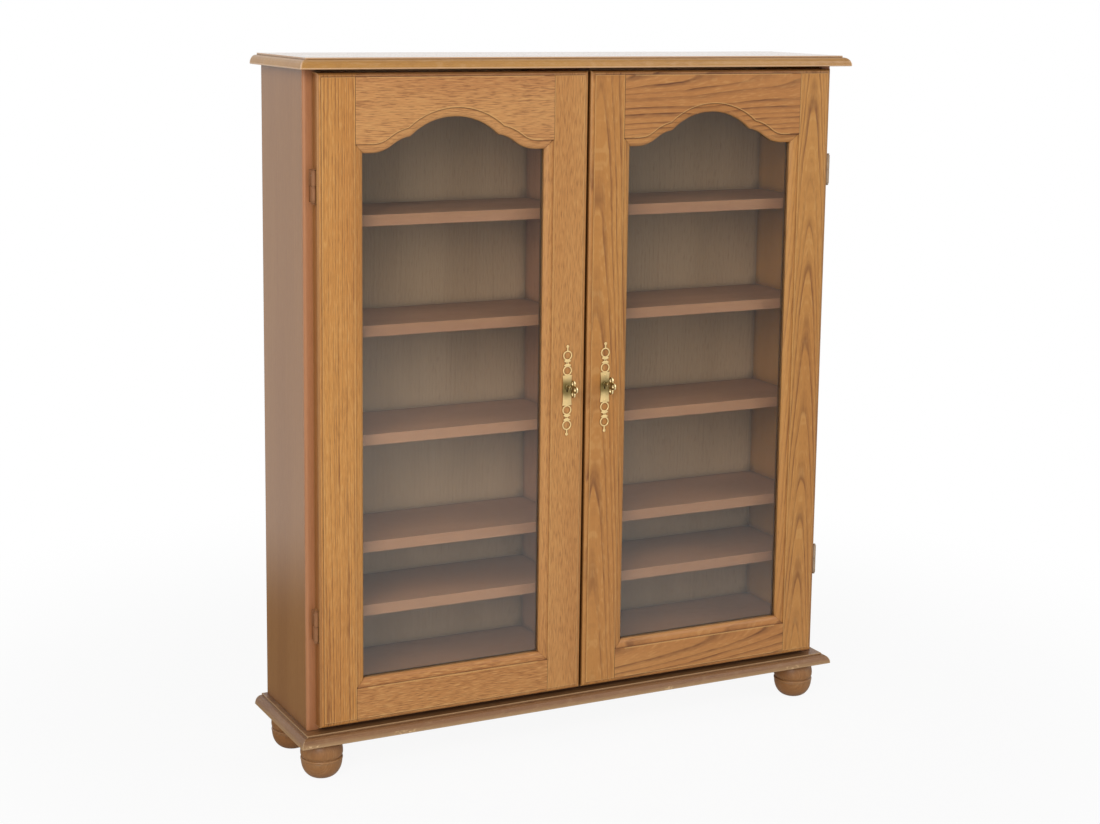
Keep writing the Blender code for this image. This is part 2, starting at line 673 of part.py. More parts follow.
def circles_meet(centre, radius, other_centre, other_radius):
    """The upper point where two circles cross, with the other one to the right."""
    across = other_centre - centre
    span = across.length
    along = (radius ** 2 - other_radius ** 2 + span ** 2) / (2 * span)
    aside = math.sqrt(radius ** 2 - along ** 2)
    ahead = across / span
    return centre + along * ahead + aside * Vector((-ahead.y, ahead.x))


def top_rail_rings(side):
    half_rail = SIGHT_HALF + STICKING_WIDTH - SEAT_GAP
    rings = []
    for depth in DOOR_DEPTHS:
        back = read_profile(STICKING, depth)
        top = DOOR_HIGH - read_profile(DOOR_EDGE, depth)
        half_arch = arch_outline(back)
        lower = [(half_rail, back)] + half_arch[::-1]
        lower += [(-x, z) for x, z in half_arch[1:]] + [(-half_rail, back)]
        outline = [(x, SPRING + z) for x, z in lower] + [(-half_rail, top), (half_rail, top)]
        rings.append([(side * (SIGHT_MIDDLE + x), depth, z) for x, z in outline])
    return rings


def bottom_rail_rings(side):
    rings = []
    u_low = SIGHT_INNER - STICKING_WIDTH + SEAT_GAP
    u_high = SIGHT_OUTER + STICKING_WIDTH - SEAT_GAP
    for depth in DOOR_DEPTHS:
        low = DOOR_LOW + read_profile(DOOR_EDGE, depth)
        high = SIGHT_LOW - read_profile(STICKING, depth)
        rings.append(ring_across(depth, side, u_low, u_high, low, high))
    return rings


def make_cope_cutters(side_name, side):
    """Copies of the stiles' inner edges, a little proud, that shape the rails' ends to fit over them."""
    square_edge = [(0.0, 0.0), (0.0, DOOR_THICKNESS)]
    z_low, z_high = DOOR_LOW - CUT_MARGIN, DOOR_HIGH + CUT_MARGIN
    inner = stile_rings(side, DOOR_INNER, SIGHT_INNER + SEAT_GAP, z_low, z_high, square_edge)
    outer = stile_rings(side, DOOR_OUTER, SIGHT_OUTER - SEAT_GAP, z_low, z_high, square_edge)
    cutters = []
    for name, rings in (("inner", inner), ("outer", outer)):
        rings[0] = [(x, y - CUT_MARGIN, z) for x, y, z in rings[0]]
        rings[-1] = [(x, y + CUT_MARGIN, z) for x, y, z in rings[-1]]
        cutters.append(make_loft(f"cope_{name}_{side_name}", rings, CABINET))
    return cutters


def make_door_frame(side_name, side, door):
    """Two stiles, a bottom rail and an arched top rail, rebated at the back for the glass."""
    hinge_rings = stile_rings(side, DOOR_OUTER, SIGHT_OUTER, DOOR_LOW, DOOR_HIGH, DOOR_EDGE)
    lock_rings = stile_rings(side, DOOR_INNER, SIGHT_INNER, DOOR_LOW, DOOR_HIGH, DOOR_EDGE)
    hinge_stile = make_loft(f"hinge_stile_{side_name}", hinge_rings, door, "oak")
    lock_stile = make_loft(f"lock_stile_{side_name}", lock_rings, door, "oak")
    bottom_rail = make_loft(f"bottom_rail_{side_name}", bottom_rail_rings(side), door, "oak")
    top_rail = make_loft(f"top_rail_{side_name}", top_rail_rings(side), door, "oak")
    cope_cutters = make_cope_cutters(side_name, side)
    cut(bottom_rail, *cope_cutters)
    cut(top_rail, *cope_cutters)
    rebate_u = (SIGHT_INNER - REBATE_WIDTH, SIGHT_OUTER + REBATE_WIDTH)
    rebate_y = (SIGHT_LIP, DOOR_THICKNESS + CUT_MARGIN)
    rebate_z = (SIGHT_LOW - REBATE_WIDTH, SPRING + ARCH_RISE + REBATE_WIDTH)
    rebate = side_box(f"glass_rebate_{side_name}", side, rebate_u, rebate_y, rebate_z, CABINET)
    for piece in (hinge_stile, lock_stile, bottom_rail, top_rail):
        cut(piece, rebate)
    return hinge_stile, lock_stile


def make_glazing(side_name, side, door):
    """The pane, and the strip behind it that holds it in the rebate."""
    low_u, high_u = SIGHT_INNER - REBATE_WIDTH, SIGHT_OUTER + REBATE_WIDTH
    low_z, high_z = SIGHT_LOW - REBATE_WIDTH, SPRING + ARCH_RISE + REBATE_WIDTH
    pane_front = SIGHT_LIP + SEAT_GAP
    pane_back = pane_front + GLASS_THICKNESS
    pane_u = (low_u + GLASS_EDGE_GAP, high_u - GLASS_EDGE_GAP)
    pane_z = (low_z + GLASS_EDGE_GAP, high_z - GLASS_EDGE_GAP)
    side_box(f"glass_{side_name}", side, pane_u, (pane_front, pane_back), pane_z, door, "glass")
    strip_y = (pane_back + SEAT_GAP, DOOR_THICKNESS)
    strip_u = (low_u + SEAT_GAP, high_u - SEAT_GAP)
    strip_z = (low_z + SEAT_GAP, high_z - SEAT_GAP)
    strip = side_box(f"glazing_strip_{side_name}", side, strip_u, strip_y, strip_z, door, "strip")
    hole_u = (SIGHT_INNER, SIGHT_OUTER)
    hole_z = (SIGHT_LOW, SPRING + ARCH_RISE)
    hole_y = (strip_y[0] - CUT_MARGIN, strip_y[1] + CUT_MARGIN)
    cut(strip, side_box(f"strip_hole_{side_name}", side, hole_u, hole_y, hole_z, CABINET))


def finial_profile():
    """A small turned bud as (radius, distance from the knuckle's end), from its tip to its neck."""
    neck = FINIAL_LENGTH / 4
    turns = [math.pi * i / FINIAL_STEPS for i in range(1, FINIAL_STEPS)]
    half = (FINIAL_LENGTH - neck) / 2
    bud = [(FINIAL_RADIUS * math.sin(t), neck + half * (1 + math.cos(t))) for t in turns]
    return [(0, FINIAL_LENGTH)] + bud + [(FINIAL_NECK_RADIUS, neck), (FINIAL_NECK_RADIUS, 0)]


def make_hinges(side_name, side, door, hinge_stile, lipping):
    """Two lift-off hinges: a leaf with the lower knuckle, a pin and a leaf with the upper knuckle."""
    bore = HINGE_PIN_RADIUS + PIN_GAP
    half = HINGE_LENGTH / 2
    bud = finial_profile()
    for place_name, middle in HINGE_HEIGHTS.items():
        name = f"{place_name}_{side_name}"
        axis = (side * HINGE_U, HINGE_Y, middle)
        leaf_z = (middle - half, middle + half)

        lower = [(0, -HINGE_PIN_REACH), (bore, -HINGE_PIN_REACH), (bore, -KNUCKLE_GAP / 2)]
        lower += [(HINGE_RADIUS, -KNUCKLE_GAP / 2), (HINGE_RADIUS, -half)]
        lower += [(radius, -half - reach) for radius, reach in reversed(bud)]
        frame_half = make_turned(f"hinge_frame_leaf_{name}", lower, HINGE_SEGMENTS, CABINET, axis, "bronze")
        leaf_u = (HINGE_U + LEAF_WEB / 2 - FRAME_LEAF_WIDTH, HINGE_U + LEAF_WEB / 2)
        leaf_y = (CARCASS_FRONT, CARCASS_FRONT + LEAF_THICKNESS)
        leaf = side_box(f"frame_leaf_{name}", side, leaf_u, leaf_y, leaf_z, CABINET)
        web_u = (HINGE_U - LEAF_WEB / 2, HINGE_U + LEAF_WEB / 2)
        web_y = (HINGE_Y + (bore + HINGE_RADIUS) / 2, CARCASS_FRONT + LEAF_THICKNESS / 2)
        web_z = (middle - half + KNUCKLE_GAP, middle - KNUCKLE_GAP)
        web = side_box(f"frame_web_{name}", side, web_u, web_y, web_z, CABINET)
        join(frame_half, leaf, web)
        recess_u = (leaf_u[0] - SEAT_GAP, leaf_u[1] + SEAT_GAP)
        recess_y = (CARCASS_FRONT - CUT_MARGIN, leaf_y[1] + SEAT_GAP)
        recess_z = (leaf_z[0] - SEAT_GAP, leaf_z[1] + SEAT_GAP)
        cut(lipping, side_box(f"frame_recess_{name}", side, recess_u, recess_y, recess_z, CABINET))

        upper = [(radius, half + reach) for radius, reach in bud]
        upper += [(HINGE_RADIUS, half), (HINGE_RADIUS, KNUCKLE_GAP / 2), (bore, KNUCKLE_GAP / 2)]
        upper += [(bore, HINGE_PIN_REACH), (0, HINGE_PIN_REACH)]
        door_half = make_turned(f"hinge_door_leaf_{name}", upper, HINGE_SEGMENTS, door, axis, "bronze")
        leaf_u = (DOOR_OUTER - LEAF_THICKNESS, DOOR_OUTER)
        leaf_y = (HINGE_Y - DOOR_LEAF_LEAD, HINGE_Y - DOOR_LEAF_LEAD + DOOR_LEAF_WIDTH)
        leaf = side_box(f"door_leaf_{name}", side, leaf_u, leaf_y, leaf_z, CABINET)
        web_u = (DOOR_OUTER - LEAF_THICKNESS / 2, HINGE_U - (bore + HINGE_RADIUS) / 2)
        web_y = (HINGE_Y - LEAF_WEB / 2, HINGE_Y + LEAF_WEB / 2)
        web_z = (middle + KNUCKLE_GAP, middle + half - KNUCKLE_GAP)
        web = side_box(f"door_web_{name}", side, web_u, web_y, web_z, CABINET)
        join(door_half, leaf, web)
        recess_u = (leaf_u[0] - SEAT_GAP, leaf_u[1] + CUT_MARGIN)
        recess_y = (leaf_y[0] - SEAT_GAP, leaf_y[1] + SEAT_GAP)
        cut(hinge_stile, side_box(f"door_recess_{name}", side, recess_u, recess_y, recess_z, CABINET))

        reach = HINGE_PIN_REACH - SEAT_GAP
        pin = [(0, reach), (HINGE_PIN_RADIUS, reach), (HINGE_PIN_RADIUS, -reach), (0, -reach)]
        make_turned(f"hinge_pin_{name}", pin, HINGE_SEGMENTS, CABINET, axis, "steel")


def keyhole(radius, slot_half, slot_reach, segments):
    """A round keyhole with a slot below, as (x, z) points about the key's axis."""
    start = -math.pi / 2 + math.asin(slot_half / radius)
    end = 2 * math.pi - math.pi / 2 - math.asin(slot_half / radius)
    return arc((0, 0), radius, start, end, segments) + [(-slot_half, -slot_reach), (slot_half, -slot_reach)]


def make_keyhole_cutter(name, side, gap, y_range):
    outline = keyhole(KEY_RADIUS + gap, KEY_BIT_THICKNESS / 2 + gap / 2, KEY_BIT_REACH + gap, KEY_SEGMENTS)
    rings = [[(side * KEY_U + x, y, KEY_Z + z) for x, z in outline] for y in y_range]
    return make_loft(name, rings, CABINET)


def make_lock(side_name, side, door, lock_stile):
    """A lock case behind the stile, with a chamber for the key's bit and a channel for the bolt."""
    case_u = (LOCK_NEAR, LOCK_NEAR + LOCK_WIDTH)
    case_z = (KEY_Z - LOCK_BELOW_KEY, KEY_Z + LOCK_ABOVE_KEY)
    case = side_box(f"lock_case_{side_name}", side, case_u, (LOCK_FRONT, LOCK_BACK), case_z, door, "steel")
    key_x = side * KEY_U
    chamber_y = (CHAMBER_FRONT, CHAMBER_BACK)
    chamber = make_rod(
        f"lock_chamber_{side_name}", CHAMBER_RADIUS, chamber_y, key_x, KEY_Z, RING_SEGMENTS, CABINET)
    channel_u = (LOCK_NEAR - CUT_MARGIN, BOLT_NEAR + BOLT_LENGTH + SLIDE_GAP)
    channel_y = (BOLT_FRONT - SLIDE_GAP, BOLT_BACK + SLIDE_GAP)
    channel_z = (BOLT_LOW - SLIDE_GAP, BOLT_HIGH + SLIDE_GAP)
    channel = side_box(f"bolt_channel_{side_name}", side, channel_u, channel_y, channel_z, CABINET)
    key_way = (LOCK_FRONT - CUT_MARGIN, (CHAMBER_FRONT + CHAMBER_BACK) / 2)
    cut(case, chamber, channel)
    cut(case, make_keyhole_cutter(f"case_keyhole_{side_name}", side, KEY_HOLE_GAP, key_way))
    through = (-CUT_MARGIN, DOOR_THICKNESS + CUT_MARGIN)
    cut(lock_stile, make_keyhole_cutter(f"stile_keyhole_{side_name}", side, 2 * KEY_HOLE_GAP, through))

    notch_low = BOLT_HIGH - NOTCH_DEPTH
    bolt_far = BOLT_NEAR + BOLT_LENGTH
    outline = [(BOLT_NEAR, BOLT_LOW), (bolt_far, BOLT_LOW), (bolt_far, BOLT_HIGH)]
    outline += [(KEY_U + NOTCH_TRAIL, BOLT_HIGH), (KEY_U + NOTCH_TRAIL, notch_low)]
    outline += [(KEY_U - NOTCH_LEAD, notch_low), (KEY_U - NOTCH_LEAD, BOLT_HIGH), (BOLT_NEAR, BOLT_HIGH)]
    slide = make_empty(f"bolt_slide_{side_name}", (side * BOLT_NEAR, BOLT_FRONT, BOLT_LOW), door)
    origin = place_of(slide)
    rings = [[Vector((side * u, y, z)) for u, z in outline] for y in (BOLT_FRONT, BOLT_BACK)]
    bolt = make_loft(f"lock_bolt_{side_name}", rings, slide, "brass")
    bolt.location = -origin


def bow_radius(turn):
    """How far a key bow of a round core and three lobes reaches, in a direction about its middle."""
    reach = BOW_CORE_RADIUS
    for lobe_turn in (0, math.pi / 2, -math.pi / 2):
        ahead = BOW_LOBE_OFFSET * math.cos(turn - lobe_turn)
        aside = BOW_LOBE_OFFSET * math.sin(turn - lobe_turn)
        if ahead > 0 and abs(aside) < BOW_LOBE_RADIUS:
            reach = max(reach, ahead + math.sqrt(BOW_LOBE_RADIUS ** 2 - aside ** 2))
    return reach


def make_key(side_name, side, door):
    """A brass key: pierced bow, collar, round shank and a bit that hangs in the lock's chamber."""
    key_x = side * KEY_U
    bow_y = -KEY_REACH + BOW_LOBE_OFFSET + BOW_LOBE_RADIUS
    turns = [2 * math.pi * i / BOW_SEGMENTS for i in range(BOW_SEGMENTS)]
    outlines = [[(bow_radius(t) * math.cos(t), bow_radius(t) * math.sin(t)) for t in turns]]
    for lobe_turn in (0, math.pi / 2, -math.pi / 2):
        centre = (BOW_LOBE_OFFSET * math.cos(lobe_turn), BOW_LOBE_OFFSET * math.sin(lobe_turn))
        outlines.append(circle(BOW_HOLE_RADIUS, HOLE_SEGMENTS, centre))
    spin = make_empty(f"key_turn_{side_name}", (key_x, 0, KEY_Z), door)
    forward = Matrix(((0, 0, 1, 0), (-1, 0, 0, 0), (0, 1, 0, 0), (0, 0, 0, 1)))
    name = f"key_{side_name}"
    bow_place = (key_x, bow_y, KEY_Z)
    key = make_plate(name, outlines, BOW_THICKNESS, forward, spin, bow_place, "brass")
    shank_y = (bow_y + BOW_CORE_RADIUS / 2, CHAMBER_BACK - SLIDE_GAP)
    shank = make_rod(f"key_shank_{side_name}", KEY_RADIUS, shank_y, key_x, KEY_Z, KEY_SEGMENTS, CABINET)
    collar_back = -PLATE_THICKNESS - 2 * SEAT_GAP - SLIDE_GAP
    collar_y = (collar_back - KEY_COLLAR_LENGTH, collar_back)
    name = f"key_collar_{side_name}"
    collar = make_rod(name, KEY_COLLAR_RADIUS, collar_y, key_x, KEY_Z, KEY_SEGMENTS, CABINET)
    bit_back = CHAMBER_BACK - 2 * SLIDE_GAP
    bit_x = (key_x - KEY_BIT_THICKNESS / 2, key_x + KEY_BIT_THICKNESS / 2)
    low = (bit_x[0], bit_back - KEY_BIT_LENGTH, KEY_Z - KEY_BIT_REACH)
    bit = make_box(f"key_bit_{side_name}", low, (bit_x[1], bit_back, KEY_Z), CABINET)
    join(key, shank, collar, bit)


def plate_half_width(height):
    """Half the key plate's width at a height from its middle: shield, rings, links and end buds."""
    height = abs(height)
    widths = [PLATE_NECK if height < PLATE_FAR_RING else PLATE_STEM]
    if height <= PLATE_SHIELD_HALF_LENGTH:
        widths.append(PLATE_SHIELD_HALF_WIDTH)
    for middle in (PLATE_NEAR_RING, PLATE_FAR_RING):
        if abs(height - middle) < PLATE_RING_RADIUS:
            widths.append(math.sqrt(PLATE_RING_RADIUS ** 2 - (height - middle) ** 2))
    link_middle = (PLATE_NEAR_RING + PLATE_FAR_RING) / 2
    for arm in (link_middle - PLATE_ARM_OFFSET, link_middle + PLATE_ARM_OFFSET):
        if abs(height - arm) < PLATE_ARM_RADIUS:
            widths.append(PLATE_ARM_REACH + math.sqrt(PLATE_ARM_RADIUS ** 2 - (height - arm) ** 2))
    bud_middle = PLATE_HALF_LENGTH - PLATE_BUD_RADIUS
    if abs(height - bud_middle) < PLATE_BUD_RADIUS:
        widths.append(math.sqrt(PLATE_BUD_RADIUS ** 2 - (height - bud_middle) ** 2))
    return max(widths)


def make_key_plate(side_name, side, door):
    """A pierced brass plate on the lock stile, with the keyhole in its shield."""
    count = round(2 * PLATE_HALF_LENGTH / PLATE_SAMPLE)
    heights = [PLATE_HALF_LENGTH * (2 * i / count - 1) for i in range(count + 1)]
    right = [(plate_half_width(height), height) for height in heights]
    outlines = [right + [(-width, height) for width, height in reversed(right)]]
    for middle in (PLATE_NEAR_RING, PLATE_FAR_RING):
        for end in (-1, 1):
            outlines.append(circle(PLATE_RING_HOLE, RING_SEGMENTS, (0, end * middle)))
    slot_half = KEY_BIT_THICKNESS / 2 + KEY_HOLE_GAP / 2
    hole = keyhole(KEY_RADIUS + KEY_HOLE_GAP, slot_half, KEY_BIT_REACH + KEY_HOLE_GAP, KEY_SEGMENTS)
    outlines.append([(x, z + PLATE_DROP) for x, z in hole])
    upright = Matrix.Rotation(math.pi / 2, 4, "X")
    place = (side * KEY_U, -SEAT_GAP - PLATE_THICKNESS / 2, KEY_Z - PLATE_DROP)
    make_plate(f"key_plate_{side_name}", outlines, PLATE_THICKNESS, upright, door, place, "brass")


def make_door(side_name, side, lipping):
    hinge_middle = (HINGE_HEIGHTS["top"] + HINGE_HEIGHTS["bottom"]) / 2
    door = make_empty(f"door_swing_{side_name}", (side * HINGE_U, HINGE_Y, hinge_middle), CABINET)
    hinge_stile, lock_stile = make_door_frame(side_name, side, door)
    make_glazing(side_name, side, door)
    make_hinges(side_name, side, door, hinge_stile, lipping)
    make_lock(side_name, side, door, lock_stile)
    make_key(side_name, side, door)
    make_key_plate(side_name, side, door)


def main():
    half_top = SIDE_OUTER + TOP_END_OVERHANG
    half_base = SIDE_OUTER + BASE_END_OVERHANG
    make_board("top_board", half_top, -TOP_FRONT_OVERHANG, TOP_LOW, TOP_THICKNESS, "top_oak")
    base = make_board("base_board", half_base, -BASE_FRONT_OVERHANG, BASE_LOW, BASE_THICKNESS, "base_wood")
    make_feet(base)
    make_partition()
    make_inside()
    for side_name, side in SIDES.items():
        lipping = make_side(side_name, side)
        make_door(side_name, side, lipping)


main()
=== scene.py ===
"""Looks of a display cabinet with two arched glass doors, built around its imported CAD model."""

import math

import bmesh
import bpy
from mathutils import Matrix, Vector


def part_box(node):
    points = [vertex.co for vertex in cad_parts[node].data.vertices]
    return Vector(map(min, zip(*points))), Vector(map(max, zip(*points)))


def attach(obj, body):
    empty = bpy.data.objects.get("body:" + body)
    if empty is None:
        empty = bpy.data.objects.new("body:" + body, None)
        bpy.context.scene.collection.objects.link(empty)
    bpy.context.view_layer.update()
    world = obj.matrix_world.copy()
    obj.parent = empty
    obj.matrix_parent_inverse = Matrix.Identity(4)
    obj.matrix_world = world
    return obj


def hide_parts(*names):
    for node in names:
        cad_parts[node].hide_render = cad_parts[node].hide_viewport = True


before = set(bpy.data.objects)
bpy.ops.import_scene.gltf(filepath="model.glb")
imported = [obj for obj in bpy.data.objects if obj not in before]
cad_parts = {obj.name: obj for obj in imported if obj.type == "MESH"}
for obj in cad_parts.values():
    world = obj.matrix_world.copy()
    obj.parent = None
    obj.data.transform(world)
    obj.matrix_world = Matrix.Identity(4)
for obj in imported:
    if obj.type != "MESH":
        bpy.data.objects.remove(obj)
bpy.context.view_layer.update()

MM = 0.001
SIDES = {"left": -1, "right": 1}

# Camera at the photograph's viewing angle, in metres, degrees and millimetres of lens
CAMERA_PLACE = (-1.3899, -2.6959, 1.1422)
CAMERA_YAW = -26.951
CAMERA_PITCH = 9.299
CAMERA_ROLL = 0.748
CAMERA_LENS = 65.664
CAMERA_SENSOR = 36
CAMERA_SHIFT = -0.085

# Light: watts, metres, and the world's strength for the object's own shading
KEY_LAMP = {"place": (-2.5, -2.9, 2.1), "watts": 76, "size": 2.2}
FILL_LAMP = {"place": (2.6, -2.8, 2.6), "watts": 27, "size": 1.6}
LAMP_TARGET = (0, 0, 0.5)
AMBIENT = 0.34

# Floor: its grey and what its clouds leave of it, and how much of what is seen is the studio's white, close
# to the object and far from it
FLOOR_SIZE = 40
FLOOR_TONE = 0.86
FLOOR_CLOUD = (0.98, 0.98, 0.97)
FLOOR_CLOUD_SCALE = (3, 3, 3)
FLOOR_GLOW = (0.92, 1.0)
FLOOR_GLOW_REACH = (0.6, 1.5)

# Painted reflection: what gloss shows of the floor, which glows for glossy rays: behind the object a warm
# shade close by and a warm white farther off, and in front of it a dimmer studio, which falls off from left
# to right
GLOSS_NEAR_TONE = (0.30, 0.23, 0.16, 1)
GLOSS_FAR_TONE = (1, 0.94, 0.87, 1)
GLOSS_NEAR_REACH = (0.9, 1.6)
GLOSS_FRONT = (0.9, 0.4)
GLOSS_FRONT_X = (0.3, 1.7)
GLOSS_FRONT_Y = (-0.6, 0.2)

# Feet, as the CAD has them, turned finer
FOOT_HEIGHT = 58.7 * MM
FOOT_RADIUS = 31.1 * MM
FOOT_BASE_RADIUS = 10 * MM
FOOT_BOWL_HEIGHT = 26.6 * MM
FOOT_BEAD_HEIGHT = 3.6 * MM
FOOT_LINE_DEPTH = 0.7 * MM
FOOT_LINE_HEIGHT = 0.8 * MM
FOOT_NOTCH_DEPTH = 2 * MM
FOOT_NOTCH_HEIGHT = 1.6 * MM
FOOT_DRUM_RADIUS = 31.3 * MM
FOOT_DRUM_WIDEST = 38 * MM
FOOT_NECK_RADIUS = 21 * MM
FOOT_BEAD_FLAT = 0.6
FOOT_SEGMENTS = 96
FOOT_STEPS = {"drum": 20, "drum_foot": 10, "bead": 12, "bowl": 24}

# Hinges, with their screws as (share of the hinge's half height, turn of the slot)
HINGE_U = 428.4 * MM
HINGE_Y = -77 * MM
HINGE_HEIGHTS = {"top": 869.2 * MM, "bottom": 235.2 * MM}
HINGE_HALF = 22.5 * MM
HINGE_RADIUS = 3 * MM
HINGE_GROOVE = 0.3 * MM
KNUCKLE_GAP = 0.4 * MM
KNUCKLE_LINE_INSET = 2 * MM
FINIAL_LENGTH = 2.6 * MM
FINIAL_RADIUS = 2.5 * MM
FINIAL_NECK_RADIUS = 2 * MM
FINIAL_NECK_SHARE = 0.25
FINIAL_STEPS = 14
LEAF_THICKNESS = 1.5 * MM
FRAME_LEAF_WIDTH = 8 * MM
DOOR_LEAF_WIDTH = 11.5 * MM
DOOR_LEAF_LEAD = 1.4 * MM
LEAF_WEB = 2 * MM
LEAF_SCREW_RADIUS = 1.7 * MM
FRAME_LEAF_SCREWS = ((-0.62, 0.5), (0.62, 1.8))
DOOR_LEAF_SCREWS = ((-0.75, 0.9), (-0.3, 2.0))
LEAF_BEVEL = 0.25 * MM
HINGE_SEGMENTS = 48
DOOR_OUTER = 425 * MM
CARCASS_FRONT = -62.7 * MM

# Key, key plate and lock
DOOR_FRONT = -84 * MM
KEY_U = 32 * MM
KEY_Z = 557.2 * MM
KEY_RADIUS = 2.4 * MM
KEY_COLLAR_RADIUS = 3.9 * MM
KEY_COLLAR_LENGTH = 2.5 * MM
KEY_COLLAR_SOFTNESS = 0.5 * MM
KEY_RING_RADIUS = 3.2 * MM
KEY_RING_HALF = 0.7 * MM
KEY_RING_FOOT = 1.1 * MM
KEY_RING_SPACE = 1.2 * MM
KEY_REACH = 34 * MM
KEY_TIP_BEVEL = 0.4 * MM
KEY_BIT_HALF = 1 * MM
KEY_BIT_BEFORE_TIP = (-7 * MM, -1 * MM)
KEY_BIT_DROP = 8 * MM
KEY_BIT_BEVEL = 0.2 * MM
KEY_SEGMENTS = 40
BOW_THICKNESS = 2.6 * MM
BOW_CORE_RADIUS = 6.5 * MM
BOW_LOBE_RADIUS = 5.5 * MM
BOW_LOBE_OFFSET = 8 * MM
BOW_LOBE_TURNS = (0, math.pi / 2, -math.pi / 2)
BOW_MIDDLE = BOW_LOBE_OFFSET + BOW_LOBE_RADIUS - KEY_REACH
BOW_HOLE_RADIUS = 2.9 * MM
BOW_BEVEL = 0.5 * MM
BOW_STEPS = 120
HOLE_STEPS = 40
PLATE_THICKNESS = 1.2 * MM
PLATE_GAP = 0.3 * MM
PLATE_DROP = 5.5 * MM
PLATE_HALF_LENGTH = 69 * MM
PLATE_SHIELD_HALF_LENGTH = 23 * MM
PLATE_SHIELD_HALF_WIDTH = 7.8 * MM
PLATE_SHIELD_WAIST = 0.8 * MM
PLATE_RING_RADIUS = 7.5 * MM
PLATE_RING_HOLE = 5.6 * MM
PLATE_NEAR_RING = 30 * MM
PLATE_FAR_RING = 53 * MM
PLATE_LINK = (PLATE_NEAR_RING + PLATE_FAR_RING) / 2
PLATE_ARM_HALF = 2.6 * MM
PLATE_ARM_REACH = 6.2 * MM
PLATE_ARM_OFFSET = 3.3 * MM
PLATE_NECK = 1.7 * MM
PLATE_STEM = 1.1 * MM
PLATE_BUD_RADIUS = 2.3 * MM
PLATE_LINK_HOLE = 0.9 * MM
PLATE_BEVEL = 0.45 * MM
PLATE_SAMPLE = 0.25 * MM
KEYHOLE_TURNS = (math.radians(-65), math.radians(245))
KEYHOLE_DROP = 8.3 * MM
KEYHOLE_STEPS = 30
PLATE_PIN_OFFSET = 19 * MM
PLATE_PIN_RADIUS = 1.2 * MM
PLATE_PIN_RISE = 0.6 * MM
PLATE_PIN_SINK = 0.4 * MM
PLATE_PIN_STEPS = 8
PLATE_PIN_SEGMENTS = 24

# Screws, of which the slot is a share of the radius, and nails
SCREW_SINK = 0.6 * MM
SCREW_SLOT_FLOOR = 0.05 * MM
SCREW_RISE = 0.35 * MM
SCREW_SLOT = 0.16
SCREW_STEPS = 24
SCREW_HALF_STEPS = 14
LOCK_SCREW_RADIUS = 2.1 * MM
LOCK_SCREW_INSET = 5 * MM
LOCK_SCREW_FIRST_TURN = 0.4
LOCK_SCREW_TURN_STEP = 0.8
NAIL_RADIUS = 1.6 * MM
NAIL_CROWN_RADIUS = 1.2 * MM
NAIL_SINK = 0.5 * MM
NAIL_RIM = 0.1 * MM
NAIL_CROWN = 0.3 * MM
NAIL_RISE = 0.35 * MM
NAIL_INSET = 6 * MM
NAIL_SPACES = 8
NAIL_SEGMENTS = 16

# Meshes, and the shelves in each bay
SHARP_ANGLE = math.radians(40)
BEVEL_STEPS = 2
WELD_DISTANCE = 0.002 * MM
SHELVES_IN_A_BAY = 5


def tone(red, green, blue):
    """A colour of 0 to 255 as the linear values that shaders take, by the standard curve of screens."""
    shares = [channel / 255 for channel in (red, green, blue)]
    return tuple(s / 12.92 if s <= 0.04045 else ((s + 0.055) / 1.055) ** 2.4 for s in shares) + (1,)


# Materials: rays for each look into corners and edges, and how far each seed moves the noise
EDGE_RAYS = 4
SEED_SHIFT = (3.1, 5.3, 7.7)
WHITE = (1, 1, 1, 1)


